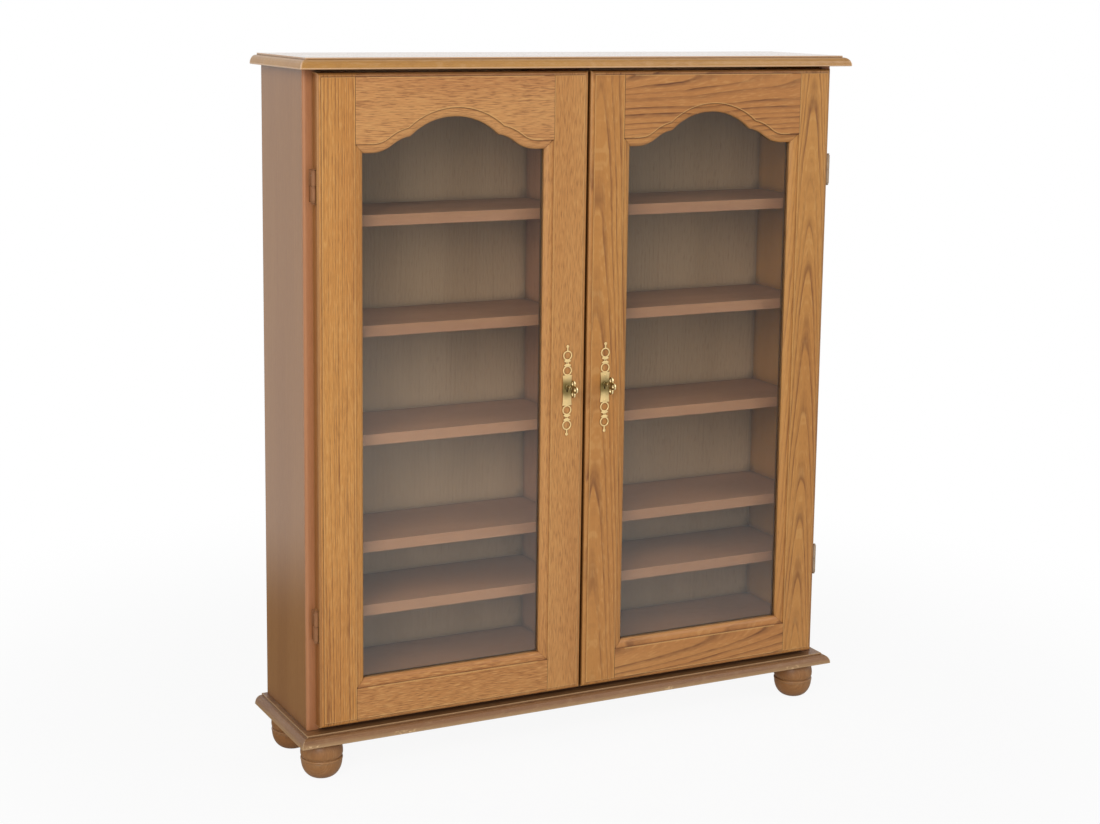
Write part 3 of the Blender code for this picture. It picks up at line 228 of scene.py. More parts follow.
class Nodes:
    """A tree of shader nodes, with a method for each kind of node that it uses."""

    def __init__(self, tree):
        self.tree = tree

    def new(self, kind, **settings):
        """A node of a kind, with its own settings."""
        node = self.tree.nodes.new("ShaderNode" + kind)
        for name, value in settings.items():
            setattr(node, name, value)
        return node

    def feed(self, socket, value):
        """Links a socket to another node's output, or sets its value."""
        if isinstance(value, bpy.types.NodeSocket):
            self.tree.links.new(value, socket)
        else:
            socket.default_value = value

    def fed(self, node, *values, **named):
        """A node's first output, once its first sockets and those named, such as Base_Color, have values."""
        for socket, value in zip(node.inputs, values):
            self.feed(socket, value)
        for name, value in named.items():
            self.feed(node.inputs[name.replace("_", " ")], value)
        return node.outputs[0]

    def math(self, operation, *values):
        return self.fed(self.new("Math", operation=operation), *values)

    def times(self, first, *others):
        for other in others:
            first = self.math("MULTIPLY", first, other)
        return first

    def times_plus(self, first, second, third):
        """The first value times the second, plus the third."""
        return self.math("MULTIPLY_ADD", first, second, third)

    def vector_math(self, operation, *values):
        node = self.new("VectorMath", operation=operation)
        self.fed(node, *values)
        return node.outputs["Value" if operation == "LENGTH" else "Vector"]

    def split(self, vector):
        node = self.new("SeparateXYZ")
        self.fed(node, vector)
        return tuple(node.outputs)

    def join(self, *values):
        return self.fed(self.new("CombineXYZ"), *values)

    def noise(self, vector, scale, seed=0, detail=2.0, roughness=0.5):
        """Noise with its own scale along each axis, in features per metre."""
        offset = tuple(seed * shift for shift in SEED_SHIFT)
        place = self.vector_math("MULTIPLY_ADD", vector, scale, offset)
        return self.fed(self.new("TexNoise"), Vector=place, Scale=1, Detail=detail, Roughness=roughness)

    def step(self, value, low, high, start=0.0, end=1.0):
        """Start below low, end above high and a smooth change between them."""
        node = self.new("MapRange", interpolation_type="SMOOTHSTEP")
        return self.fed(node, Value=value, From_Min=low, From_Max=high, To_Min=start, To_Max=end)

    def ramp(self, value, stops):
        """A grey value for each place of stops, with smooth changes between."""
        node = self.new("ValToRGB")
        node.color_ramp.interpolation = "EASE"
        elements = node.color_ramp.elements
        while len(elements) < len(stops):
            elements.new(1)
        for element, (place, grey) in zip(elements, stops):
            element.position = place
            element.color = (grey, grey, grey, 1)
        return self.fed(node, value)

    def blend(self, share, first, second):
        """A mix of two colours, by the numbers of the node's sockets for colours."""
        node = self.new("Mix", data_type="RGBA")
        for number, value in ((0, share), (6, first), (7, second)):
            self.feed(node.inputs[number], value)
        return node.outputs[2]

    def crevice(self, distance, inside=False):
        """1 deep in a corner and 0 on open faces, or the same for corners seen from inside the piece."""
        node = self.new("AmbientOcclusion", samples=EDGE_RAYS, inside=inside, only_local=inside)
        self.fed(node, Distance=distance)
        return self.math("SUBTRACT", 1, node.outputs["AO"])

    def ridge(self, distance):
        """About a half along the piece's own outer edges, and 0 on open faces."""
        return self.crevice(distance, inside=True)

    def soft_edges(self, radius):
        return self.fed(self.new("Bevel", samples=EDGE_RAYS), Radius=radius)

    def bump(self, height, distance, strength, normal):
        return self.fed(self.new("Bump"), Strength=strength, Distance=distance, Height=height, Normal=normal)

    def light_path(self, *names):
        """The greatest of some values of the light's path, such as Is Camera Ray."""
        path = self.new("LightPath")
        greatest = path.outputs[names[0]]
        for name in names[1:]:
            greatest = self.math("MAXIMUM", greatest, path.outputs[name])
        return greatest


class Paint(Nodes):
    """The nodes of a new material, with a shader for its surface."""

    def __init__(self, name):
        self.material = bpy.data.materials.new(name)
        self.material.use_nodes = True
        super().__init__(self.material.node_tree)
        self.tree.nodes.clear()
        self.shader = self.new("BsdfPrincipled")
        self.output = self.new("OutputMaterial")
        self.show(self.shader.outputs["BSDF"])
        source = self.new("TexCoord")
        self.place = source.outputs["Object"]
        self.facing = source.outputs["Normal"]

    def show(self, surface):
        self.feed(self.output.inputs["Surface"], surface)

    def set(self, **values):
        """Values of the shader's own sockets."""
        self.fed(self.shader, **values)

    def show_both(self, share, first, second):
        """Shows the first surface, and the second by a share."""
        self.show(self.fed(self.new("MixShader"), share, first, second))


# How each wood looks: colours, metres between growth rings, and how strongly each kind of mark shows.
# lines follow the rings, dashes and flecks are short strokes, pores are fine, and wear with a painted
# highlight pales the outer edges. Painted shade darkens corners and, more narrowly, grooves. whole is what is
# left of a line where it breaks.
OAK = dict(
    light=tone(204, 143, 75), warm=tone(192, 130, 65), dark=tone(118, 66, 27), pore=tone(88, 48, 18),
    pale=tone(232, 184, 116), ring=5.0 * MM, lines=0.5, dashes=0.2, flecks=0.2, pores=0.4, wear_and_highlight=0.7,
    rough=0.40, groove_shade=0.4,
)
TOP_OAK = dict(
    OAK, light=tone(195, 141, 66), warm=tone(182, 128, 56), lines=0.35, dashes=0.25, wear_and_highlight=0.75,
    pale=tone(238, 200, 162), rough=0.28, face_rough=0.09, relief=0.35, ridge=2.6 * MM,
)
VENEER = dict(
    light=tone(160, 109, 58), warm=tone(151, 100, 51), dark=tone(122, 76, 40), pore=tone(84, 50, 28),
    pale=tone(190, 140, 92), ring=7.0 * MM, lines=0.2, dashes=0.1, flecks=0.08, pores=0.15, wear_and_highlight=0.2,
    rough=0.22, relief=0.5, gloss=0.34,
)
LIPPING = dict(
    light=tone(188, 126, 82), warm=tone(177, 114, 72), dark=tone(132, 78, 46), pore=tone(74, 40, 18),
    pale=tone(206, 150, 104), ring=4.0 * MM, lines=0.3, dashes=0.12, flecks=0.1, pores=0.2, wear_and_highlight=0.1,
    rough=0.38, corners=0.25,
)
BASE_WOOD = dict(
    light=tone(148, 105, 65), warm=tone(133, 90, 53), dark=tone(98, 62, 34), pore=tone(62, 38, 20),
    pale=tone(196, 160, 116), ring=4.5 * MM, lines=0.3, dashes=0.35, flecks=0.25, pores=0.4, wear_and_highlight=0.85,
    rough=0.40, groove_shade=0.15, corners=0.2,
)
FOOT_WOOD = dict(
    BASE_WOOD, light=tone(164, 114, 66), warm=tone(152, 102, 56), lines=0.2, dashes=0.2, wear_and_highlight=0.3,
    rough=0.36,
)
INNER_BOARD = dict(
    light=tone(158, 107, 76), warm=tone(146, 96, 66), dark=tone(112, 70, 44), pore=tone(84, 54, 36),
    pale=tone(180, 130, 96), ring=6.0 * MM, lines=0.2, dashes=0.2, flecks=0.1, pores=0.2, wear_and_highlight=0.1,
    rough=0.5,
)
BACK_BOARD = dict(INNER_BOARD, light=tone(168, 134, 104), warm=tone(156, 122, 92), lines=0.15, rough=0.6)
# The glazing strip: oak darkened to stand for the shade it lies in, a painted shade
SHADED_STRIP_WOOD = dict(OAK, light=tone(64, 45, 30), warm=tone(56, 38, 24), pale=tone(80, 56, 38))

# Noise scales in features per metre: across the grain, into the board, along the grain
WANDER_SCALE = (7, 7, 1.6)
RIPPLE_SCALE = (42, 42, 9)
PATCH_SCALE = (50, 20, 5)
BREAK_SCALE = (170, 170, 17)
DASH_SCALE = (900, 60, 66)
TONE_SCALE = (11, 11, 1.3)
FIBRE_SCALE = (620, 620, 9)
PORE_SCALE = (1500, 1500, 60)
RING_PROFILE = ((0, 0), (0.1, 1), (0.32, 0.3), (0.7, 0))
THIN_PROFILE = ((0, 0), (0.1, 1), (0.25, 0.5), (0.55, 0))
UNEVEN_PER_RING = 0.35
UNEVEN_SCALE = (2, 0.6)
# How far around them corners and grooves look for their painted shade, and how soft the edges are made
CREVICE_REACH = 18 * MM
GROOVE_REACH = 3 * MM
EDGE_SOFTNESS = 0.7 * MM

# What woods have in common where their look doesn't say otherwise. corners is how strongly the painted shade
# fills corners, and ridge is how wide the outer edges are worn and given a painted highlight
COMMON_LOOK = dict(
    uneven=2.4, profile=RING_PROFILE, whole=0.2, corners=0.9, ridge=1.8 * MM, relief=1, gloss=0.5,
)

# The levels between which each mark of the wood sets in, of noise or of how squarely a face is turned
NOISE_MIDDLE = 0.5
BROAD_FACING = (0.85, 0.98)
GLOSSY_FACE = (0.9, 1)
BREAK_LEVELS = (0.38, 0.62)
DASH_LEVELS = (0.53, 0.68)
FLECK_LEVELS = (0.30, 0.46)
PORE_LEVELS = (0.56, 0.70)
SHADE_LEVELS = (0.34, 0.66)
CORNER_LEVELS = (0.1, 0.8)
GROOVE_LEVELS = (0.05, 0.22)
WORN_AND_HIGHLIT_LEVELS = (0.06, 0.28)
WORN_AND_HIGHLIT_FADE = 4 * MM

# How much of the marks shows on a board's narrow sides, how much more of the pores shows on ring lines than
# elsewhere, and what lines, pores and fibres do to shade, height and roughness
SIDE_MARKS = 0.45
PORES_ON_LINES = 0.6
PORES_ELSEWHERE = 0.3
FIBRE_SHADE = 0.9
FIBRE_HEIGHT = 0.2
LINE_HOLLOW = 0.4
HOLLOW_ROUGHNESS = 0.2
WOOD_RELIEF = 0.45
WOOD_RELIEF_DEPTH = 0.3 * MM

# How dark the painted shade is on a door member's rim beside the glass and on its outer side, the depths
# from its middle between which the rim begins, and how much of the grooves' painted shade and of the wear
# with its painted highlight shows on stiles
RIM_DEPTHS = (-2 * MM, -0.5 * MM)
RIM_FACING = (0.3, 0.8)
RIM_SHADE = 0.95
SIDE_FACING = (0.1, 0.7)
SIDE_SHADE = 0.65
STILE_MARKS = dict(groove_shade=0.05, wear_and_highlight=0.4)

# Ends of the rails that show no wear or painted highlight, the worn nose of the base board, and its chips as
# (place along its front, half length), each group full in a share of its length
RAIL_PLAIN_END = 15 * MM
NOSE_WEAR = 0.45
NOSE_WEAR_HEIGHTS = (60 * MM, 68 * MM)
CHIP_HEIGHTS = (62.5 * MM, 66.5 * MM)
CHIP_GROUPS = ((-0.442, 14 * MM), (-0.297, 22 * MM), (0.149, 14 * MM), (0.384, 16 * MM))
CHIP_GROUP_CORE = 0.6
CHIP_SCALE = (190, 190, 330)
CHIP_LEVELS = (0.50, 0.57)
CHIP_TONE = tone(216, 180, 134)

# Metal: noise scales in features per metre, the levels between which marks set in, and how strongly they show
SPOT_SCALE = (60, 60, 60)
SPOT_LEVELS = (0.42, 0.72)
SCRATCH_SCALE = (540, 540, 540)
CREVICE_PATINA = 0.8
# Painted shade and dark reflection on a key: how squarely its flats face along X, and the depths of its rear
KEY_SHADE_FACING = (0.15, 0.6)
KEY_SHADE_DEPTHS = (-104 * MM, -92 * MM)
# How much of a band of painted dark reflection is full, and how ragged its edge is, as shares of its half
# height
REFLECTION_CORE = 0.3
REFLECTION_EDGE = 0.3
SPOT_HEIGHT = 0.3
SCRATCH_ROUGHNESS = 0.18
PATINA_ROUGHNESS = 0.2
METAL_RELIEF = 0.25
METAL_RELIEF_DEPTH = 0.08 * MM
METAL_SOFTNESS = 0.2 * MM
# A band of painted dark reflection across the key plate's shield, as (height, half height, strength)
BRASS_DARK_REFLECTION = (KEY_Z - 3 * MM, 21 * MM, 0.9)

# Glass: its tone, the tone of its shadow, and its wiping marks
GLASS_TONE = tone(240, 246, 241)
GLASS_SHADOW_TONE = tone(252, 254, 253)
GLASS_INDEX = 1.5
SMEAR_SCALE = (9, 9, 3)
SMEAR_LEVELS = (0.45, 0.75)
SMEAR_ROUGHNESS = 0.04


def wood(name, look, order, centre, seed, pith, wander=14 * MM, slope=0.03, ripple=2.5 * MM, taper=0.0,
         worn_half=None, rim=0, dark_side=0, chips=None):
    """Solid wood: uneven rings about a pith off the board's middle, broken lines, short strokes and pores.

    order names the axes across the board, into it and along its grain. pith is across and into the board.
    slope says how much deeper it lies for each metre along the grain, and taper how much the rings narrow,
    and both draw arches on the face. The outer edges are worn pale and given a painted highlight, up to a
    distance from the middle along the grain where one is given. The rim and the outer side each take 1 or -1
    for the side that faces that way across the board, which is darkened with painted shade, the rim beside
    the glass only. chips says where the paint that it is given is chipped.
    """
    look = dict(COMMON_LOOK, **look)
    paint = Paint(name)
    axes = dict(zip("XYZ", paint.split(paint.vector_math("SUBTRACT", paint.place, centre))))
    across, deep, along = (axes[letter] for letter in order)
    board = paint.join(across, deep, along)
    turned = dict(zip("XYZ", paint.split(paint.facing)))
    broad = paint.step(paint.math("ABSOLUTE", turned[order[1]]), *BROAD_FACING)

    drift = paint.math("SUBTRACT", paint.noise(board, WANDER_SCALE, seed), NOISE_MIDDLE)
    from_pith = paint.math("SUBTRACT", paint.times_plus(drift, wander, across), pith[0])
    into_pith = paint.math("SUBTRACT", deep, paint.times_plus(along, slope, pith[1]))
    radius = paint.vector_math("LENGTH", paint.join(from_pith, into_pith, 0))
    tapered = paint.times_plus(along, taper, radius)
    rippled = paint.times_plus(paint.noise(board, RIPPLE_SCALE, seed + 1), ripple, tapered)
    grain = paint.join(rippled, deep, along)
    uneven = paint.noise(grain, (UNEVEN_PER_RING / look["ring"], *UNEVEN_SCALE), seed + 7, detail=1)
    rings = paint.times_plus(uneven, look["uneven"], paint.math("DIVIDE", rippled, look["ring"]))
    band = paint.ramp(paint.math("FRACT", rings), look["profile"])

    patches = paint.step(paint.noise(grain, PATCH_SCALE, seed + 8), *BREAK_LEVELS, look["whole"], 1)
    breaks = paint.step(paint.noise(grain, BREAK_SCALE, seed + 2, detail=3), *BREAK_LEVELS, look["whole"], 1)
    line = paint.times(band, breaks, patches)
    strokes = paint.noise(grain, DASH_SCALE, seed + 3, detail=1)
    dash = paint.times(paint.step(strokes, *DASH_LEVELS), look["dashes"])
    shown = paint.times_plus(broad, 1 - SIDE_MARKS, SIDE_MARKS)
    line = paint.times(paint.times_plus(line, look["lines"], dash), shown)
    fleck = paint.times(paint.step(strokes, *FLECK_LEVELS, look["flecks"], 0), shown)
    pore = paint.step(paint.noise(board, PORE_SCALE, seed + 4, detail=1), *PORE_LEVELS)
    pore = paint.times(pore, paint.times_plus(band, PORES_ON_LINES, PORES_ELSEWHERE), look["pores"])
    fibre = paint.noise(board, FIBRE_SCALE, seed + 5, detail=3)
    shade = paint.step(paint.noise(board, TONE_SCALE, seed + 6), *SHADE_LEVELS)
    shade = paint.times_plus(paint.math("SUBTRACT", fibre, NOISE_MIDDLE), FIBRE_SHADE, shade)

    colour = paint.blend(shade, look["light"], look["warm"])
    colour = paint.blend(fleck, colour, look["pale"])
    colour = paint.blend(line, colour, look["dark"])
    colour = paint.blend(pore, colour, look["pore"])
    # Painted shade: corners and, more narrowly, grooves darken towards the pore colour
    corners = paint.step(paint.crevice(CREVICE_REACH), *CORNER_LEVELS, 0, look["corners"])
    colour = paint.blend(corners, colour, look["pore"])
    if "groove_shade" in look:
        groove_shade = paint.step(paint.crevice(GROOVE_REACH), *GROOVE_LEVELS, 0, look["groove_shade"])
        colour = paint.blend(groove_shade, colour, look["pore"])
    # Painted shade on the rim beside the glass
    if rim:
        inward = paint.times(turned[order[0]], rim)
        painted_rim_shade = paint.step(deep, *RIM_DEPTHS, 0, RIM_SHADE)
        painted_rim_shade = paint.times(paint.step(inward, *RIM_FACING), painted_rim_shade)
        colour = paint.blend(painted_rim_shade, colour, look["pore"])
    # Painted shade on a hinge stile's outer side
    if dark_side:
        outward = paint.times(turned[order[0]], dark_side)
        colour = paint.blend(paint.step(outward, *SIDE_FACING, 0, SIDE_SHADE), colour, look["dark"])
    # Wear, together with a painted highlight, pales the outer edges
    worn = paint.step(paint.ridge(look["ridge"]), *WORN_AND_HIGHLIT_LEVELS, 0, look["wear_and_highlight"])
    if worn_half is not None:
        from_middle = paint.math("ABSOLUTE", along)
        worn = paint.times(worn, paint.step(from_middle, worn_half - WORN_AND_HIGHLIT_FADE, worn_half, 1, 0))
    colour = paint.blend(worn, colour, look["pale"])
    if chips is not None:
        colour = paint.blend(chips(paint), colour, CHIP_TONE)
    hollow = paint.times_plus(line, LINE_HOLLOW, pore)
    height = paint.math("SUBTRACT", paint.times(fibre, FIBRE_HEIGHT), hollow)
    relief = WOOD_RELIEF * look["relief"]
    normal = paint.bump(height, WOOD_RELIEF_DEPTH, relief, paint.soft_edges(EDGE_SOFTNESS))
    rough = look["rough"]
    if "face_rough" in look:
        rough = paint.step(broad, *GLOSSY_FACE, look["rough"], look["face_rough"])
    rough = paint.times_plus(hollow, HOLLOW_ROUGHNESS, rough)
    paint.set(Base_Color=colour, Normal=normal, Roughness=rough, Specular_IOR_Level=look["gloss"])
    return paint.material


def metal(name, light, dark, rough, patina=0.5, reach=3 * MM, key_shade=0.0, metallic=1.0, dark_reflection=None):
    """Metal with a patina that gathers in corners and spots, and fine wear in its gloss.

    A key's flats that face along X, and its rear, get painted shade and dark reflection by a given strength,
    which leaves the bow's rim bright. A band, given as (height, half height, strength), gets a painted dark
    reflection.
    """
    paint = Paint(name)
    spots = paint.noise(paint.place, SPOT_SCALE, seed=1, detail=4, roughness=0.6)
    cloud = paint.step(spots, *SPOT_LEVELS)
    worn = paint.noise(paint.place, SCRATCH_SCALE, seed=2, detail=3)
    patina_and_shade = paint.times_plus(paint.crevice(reach), CREVICE_PATINA, paint.times(cloud, patina))
    # Painted shade and dark reflection on a key's flats and rear
    if key_shade:
        sideways = paint.math("ABSOLUTE", paint.split(paint.facing)[0])
        rear = paint.step(paint.split(paint.place)[1], *KEY_SHADE_DEPTHS)
        key_shaded = paint.math("MAXIMUM", paint.step(sideways, *KEY_SHADE_FACING), rear)
        patina_and_shade = paint.times_plus(key_shaded, key_shade, patina_and_shade)
    # A band of painted dark reflection
    if dark_reflection:
        middle_height, half_height, strength = dark_reflection
        away = paint.math("ABSOLUTE", paint.math("SUBTRACT", paint.split(paint.place)[2], middle_height))
        uneven = paint.times_plus(cloud, REFLECTION_EDGE * half_height, away)
        band = paint.step(uneven, REFLECTION_CORE * half_height, half_height, strength, 0)
        patina_and_shade = paint.math("ADD", patina_and_shade, band)
    height = paint.times_plus(cloud, SPOT_HEIGHT, worn)
    normal = paint.bump(height, METAL_RELIEF_DEPTH, METAL_RELIEF, paint.soft_edges(METAL_SOFTNESS))
    patinated = paint.times_plus(patina_and_shade, PATINA_ROUGHNESS, rough)
    paint.set(Base_Color=paint.blend(patina_and_shade, light, dark), Metallic=metallic, Normal=normal)
    paint.set(Roughness=paint.times_plus(worn, SCRATCH_ROUGHNESS, patinated))
    return paint.material


def window_glass(name):
    """Clear glass with faint wiping marks, which lets the lamps through to what is behind it."""
    paint = Paint(name)
    wiped = paint.noise(paint.place, SMEAR_SCALE, seed=4, detail=4, roughness=0.6)
    smear = paint.step(wiped, *SMEAR_LEVELS)
    paint.set(Base_Color=GLASS_TONE, IOR=GLASS_INDEX, Transmission_Weight=1.0)
    paint.set(Roughness=paint.times(smear, SMEAR_ROUGHNESS))
    clear = paint.fed(paint.new("BsdfTransparent"), Color=GLASS_SHADOW_TONE)
    paint.show_both(paint.light_path("Is Shadow Ray"), paint.shader.outputs["BSDF"], clear)
    return paint.material


def middle(node):
    low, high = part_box(node)
    return tuple((low + high) / 2)


def dress(node, material):
    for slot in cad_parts[node].material_slots:
        slot.material = material


def nose_chips(paint):
    """Wear that pales the lower nose of the base board, and pale chips in groups along it."""
    x, _, height = paint.split(paint.place)
    nose = paint.step(height, *CHIP_HEIGHTS, 1, 0)
    spots = paint.noise(paint.place, CHIP_SCALE, seed=9, detail=3, roughness=0.6)
    spots = paint.step(spots, *CHIP_LEVELS)
    groups = 0
    for place, half in CHIP_GROUPS:
        away = paint.math("ABSOLUTE", paint.math("SUBTRACT", x, place))
        groups = paint.math("MAXIMUM", groups, paint.step(away, CHIP_GROUP_CORE * half, half, 1, 0))
    chips = paint.times(spots, groups, nose)
    return paint.math("MAXIMUM", chips, paint.step(height, *NOSE_WEAR_HEIGHTS, NOSE_WEAR, 0))


def board(node, look, order, seed, pith, **changes):
    dress(node, wood(node, look, order, middle(node), seed, pith, **changes))


def stile(node, look, seed, pith, **changes):
    board(node, dict(look, **STILE_MARKS), "XYZ", seed, pith, **changes)


def rail(node, look, seed, pith, **changes):
    """A rail, whose joints with the stiles show no wear or painted highlight."""
    low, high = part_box(node)
    worn_half = (high.x - low.x) / 2 - RAIL_PLAIN_END
    board(node, look, "ZYX", seed, pith, worn_half=worn_half, **changes)


def dress_doors():
    """Gives each door member its own wood: a seed, and the pith's place in metres."""
    fine = dict(
        OAK, light=tone(210, 147, 74), warm=tone(200, 135, 65), ring=4.4 * MM, lines=0.8, whole=0.4,
        uneven=4.5, flecks=0.3,
    )
    short = dict(
        OAK, light=tone(203, 143, 79), warm=tone(192, 131, 69), lines=0.14, dashes=0.4, flecks=0.25,
    )
    low_short = dict(short, light=tone(198, 137, 76), warm=tone(186, 123, 64), dashes=0.5, flecks=0.45)
    left_rail = dict(short, light=tone(206, 147, 87), warm=tone(193, 131, 75), dashes=0.5, flecks=0.3)
    bold = dict(
        OAK, light=tone(202, 142, 73), warm=tone(193, 131, 65), lines=0.8, dashes=0.1, whole=0.45,
        profile=THIN_PROFILE,
    )
    arched = dict(bold, ring=4.6 * MM)
    wavy = dict(
        bold, light=tone(201, 141, 78), warm=tone(189, 126, 66), dark=tone(102, 55, 21), ring=8 * MM,
        lines=1.0,
    )
    straight = dict(wander=5 * MM, slope=0.004, ripple=1.2 * MM)
    stile("hinge_stile_left", fine, 11, (0.5, 0.03), rim=1, dark_side=-1, **straight)
    stile("lock_stile_left", short, 23, (0.2, 0.06), rim=-1, ripple=2 * MM)
    rail("top_rail_left", left_rail, 31, (-0.25, 0.04), rim=-1, wander=20 * MM)
    rail("bottom_rail_left", low_short, 43, (0.3, 0.05), rim=1, wander=16 * MM)
    stile("lock_stile_right", bold, 57, (-0.02, 0.03), rim=1, slope=0, taper=0.03)
    cones = dict(slope=0, taper=0.05, ripple=3 * MM)
    stile("hinge_stile_right", arched, 61, (0.002, 0.010), rim=-1, dark_side=1, **cones)
    rail("top_rail_right", wavy, 73, (0.05, 0.03), rim=-1, wander=26 * MM, slope=0.06, ripple=5 * MM)
    rail("bottom_rail_right", wavy, 89, (0.02, 0.03), rim=1, wander=22 * MM, slope=0.08, ripple=3 * MM)
    glass = window_glass("door_glass")
    bolt = metal("lock_steel", tone(186, 184, 178), tone(112, 108, 100), rough=0.3)
    for side_name in SIDES:
        board(f"glazing_strip_{side_name}", SHADED_STRIP_WOOD, "XYZ", 97, (0.4, 0.1))
        dress(f"glass_{side_name}", glass)
        dress(f"lock_case_{side_name}", bolt)
        dress(f"lock_bolt_{side_name}", bolt)


def dress_carcass():
    quarter = dict(wander=8 * MM, slope=0.006, ripple=2 * MM)
    board("top_board", TOP_OAK, "YZX", 5, (0.3, -0.09), slope=0.02, ripple=1.5 * MM)
    board("base_board", BASE_WOOD, "YZX", 13, (0.05, -0.12), slope=0.02, chips=nose_chips)
    board("floor_panel", INNER_BOARD, "YZX", 19, (0.1, -0.3))
    board("plinth_rail", INNER_BOARD, "ZYX", 29, (0.1, 0.3))
    board("back_panel", BACK_BOARD, "XYZ", 37, (0.9, 0.5), wander=40 * MM)
    board("centre_partition", INNER_BOARD, "YXZ", 41, (0.3, 0.3), **quarter)
    for side_name, side in SIDES.items():
        board(f"side_panel_{side_name}", VENEER, "YXZ", 47 + side, (0.5, 0.2), **quarter)
        board(f"side_lipping_{side_name}", LIPPING, "XYZ", 53 + side, (0.4, 0.2), **quarter)
        for number in range(1, SHELVES_IN_A_BAY + 1):
            board(f"shelf_{side_name}_{number}", INNER_BOARD, "YZX", 60 + 7 * number + side, (0.2, -0.3))


# Finer pieces

def link(name, data):
    """A new object of the scene."""
    made = bpy.data.objects.new(name, data)
    bpy.context.scene.collection.objects.link(made)
    return made


def finished_mesh(name, work, materials):
    mesh = bpy.data.meshes.new(name)
    work.to_mesh(mesh)
    work.free()
    for material in materials:
        mesh.materials.append(material)
    return mesh


def add_piece(name, work, body, materials, nodes=()):
    """A piece of the visual model from a bmesh in world places, for the CAD nodes that it replaces."""
    bmesh.ops.recalc_face_normals(work, faces=work.faces)
    mesh = finished_mesh(name, work, materials)
    mesh.shade_smooth()
    mesh.set_sharp_from_angle(angle=SHARP_ANGLE)
    piece = link(name, mesh)
    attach(piece, body)
    if nodes:
        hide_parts(*nodes)


def add_turned(work, profile, segments, frame_matrix):
    """A solid turned about its frame's Z axis, from (radius, height) points."""
    rings = []
    for radius, height in profile:
        if radius == 0:
            rings.append([work.verts.new(frame_matrix @ Vector((0, 0, height)))])
            continue
        turns = [2 * math.pi * i / segments for i in range(segments)]
        around = [Vector((radius * math.cos(t), radius * math.sin(t), height)) for t in turns]
        rings.append([work.verts.new(frame_matrix @ place) for place in around])
    for first, second in zip(rings, rings[1:]):
        for i in range(segments):
            j = (i + 1) % segments
            around = ((first, i), (first, j), (second, j), (second, i))
            corners = [ring[number % len(ring)] for ring, number in around]
            work.faces.new(list(dict.fromkeys(corners)))


def add_box(work, low, high, bevel):
    """A box with rounded edges."""
    made = bmesh.ops.create_cube(work, size=1)["verts"]
    for vert in made:
        vert.co = [l + (h - l) * (c + 0.5) for l, h, c in zip(low, high, vert.co)]
    edges = list({edge for vert in made for edge in vert.link_edges})
    bmesh.ops.bevel(work, geom=edges, offset=bevel, segments=BEVEL_STEPS, affect="EDGES", profile=0.5)


def add_prism(work, outline, low, high, frame_matrix, slot=0):
    """A straight prism on an outline of (x, y) points."""
    count = len(outline)
    rings = [[work.verts.new(frame_matrix @ Vector((x, y, z))) for x, y in outline] for z in (low, high)]
    faces = [work.faces.new(ring) for ring in rings]
    for i in range(count):
        j = (i + 1) % count
        faces.append(work.faces.new([rings[0][i], rings[0][j], rings[1][j], rings[1][i]]))
    for face in faces:
        face.material_index = slot


def arc(radius, start, end, steps, centre=(0, 0)):
    turns = [start + (end - start) * i / steps for i in range(steps + 1)]
    return [(centre[0] + radius * math.cos(t), centre[1] + radius * math.sin(t)) for t in turns]


def circle(radius, steps, centre=(0, 0)):
    return arc(radius, 0, 2 * math.pi, steps, centre)[:-1]


def facing(place, direction):
    """A frame at a place whose Z axis points in a direction."""
    return Matrix.Translation(place) @ Vector(direction).to_track_quat("Z", "Y").to_matrix().to_4x4()


def add_screw(work, place, direction, radius, turn, slot):
    """A slotted screw head: a disc and two raised halves beside the slot."""
    head = facing(place, direction) @ Matrix.Rotation(turn, 4, "Z")
    add_prism(work, circle(radius, SCREW_STEPS), -SCREW_SINK, SCREW_SLOT_FLOOR, head, slot)
    start = math.asin(SCREW_SLOT)
    outline = arc(radius, start, math.pi - start, SCREW_HALF_STEPS)
    for flip in (0, math.pi):
        half = head @ Matrix.Rotation(flip, 4, "Z")
        add_prism(work, outline, 0, SCREW_RISE, half, slot)


def add_plate(work, outlines, thickness, bevel, frame_matrix):
    """A flat plate with rounded edges from closed outlines, the first outside and the rest holes."""
    curve = bpy.data.curves.new("plate_outline", "CURVE")
    curve.dimensions = "2D"
    curve.fill_mode = "BOTH"
    curve.bevel_depth = bevel
    curve.bevel_resolution = BEVEL_STEPS
    curve.offset = -bevel
    curve.extrude = thickness / 2 - bevel
    for outline in outlines:
        spline = curve.splines.new("POLY")
        spline.points.add(len(outline) - 1)
        for point, (x, y) in zip(spline.points, outline):
            point.co = (x, y, 0, 1)
        spline.use_cyclic_u = True
    holder = link("plate_outline", curve)
    bpy.context.view_layer.update()
    mesh = bpy.data.meshes.new_from_object(holder.evaluated_get(bpy.context.evaluated_depsgraph_get()))
    mesh.transform(frame_matrix)
    work.from_mesh(mesh)
    bmesh.ops.remove_doubles(work, verts=work.verts, dist=WELD_DISTANCE)
    bpy.data.objects.remove(holder)
    bpy.data.curves.remove(curve)
    bpy.data.meshes.remove(mesh)


def swell(upright, level, steps):
    """A quarter of an ellipse as (radius, height), from its upright end to its level end."""
    turns = [math.pi / 2 * i / steps for i in range(steps + 1)]
    wide, high = upright[0] - level[0], level[1] - upright[1]
    return [(level[0] + wide * math.cos(t), upright[1] + high * math.sin(t)) for t in turns]


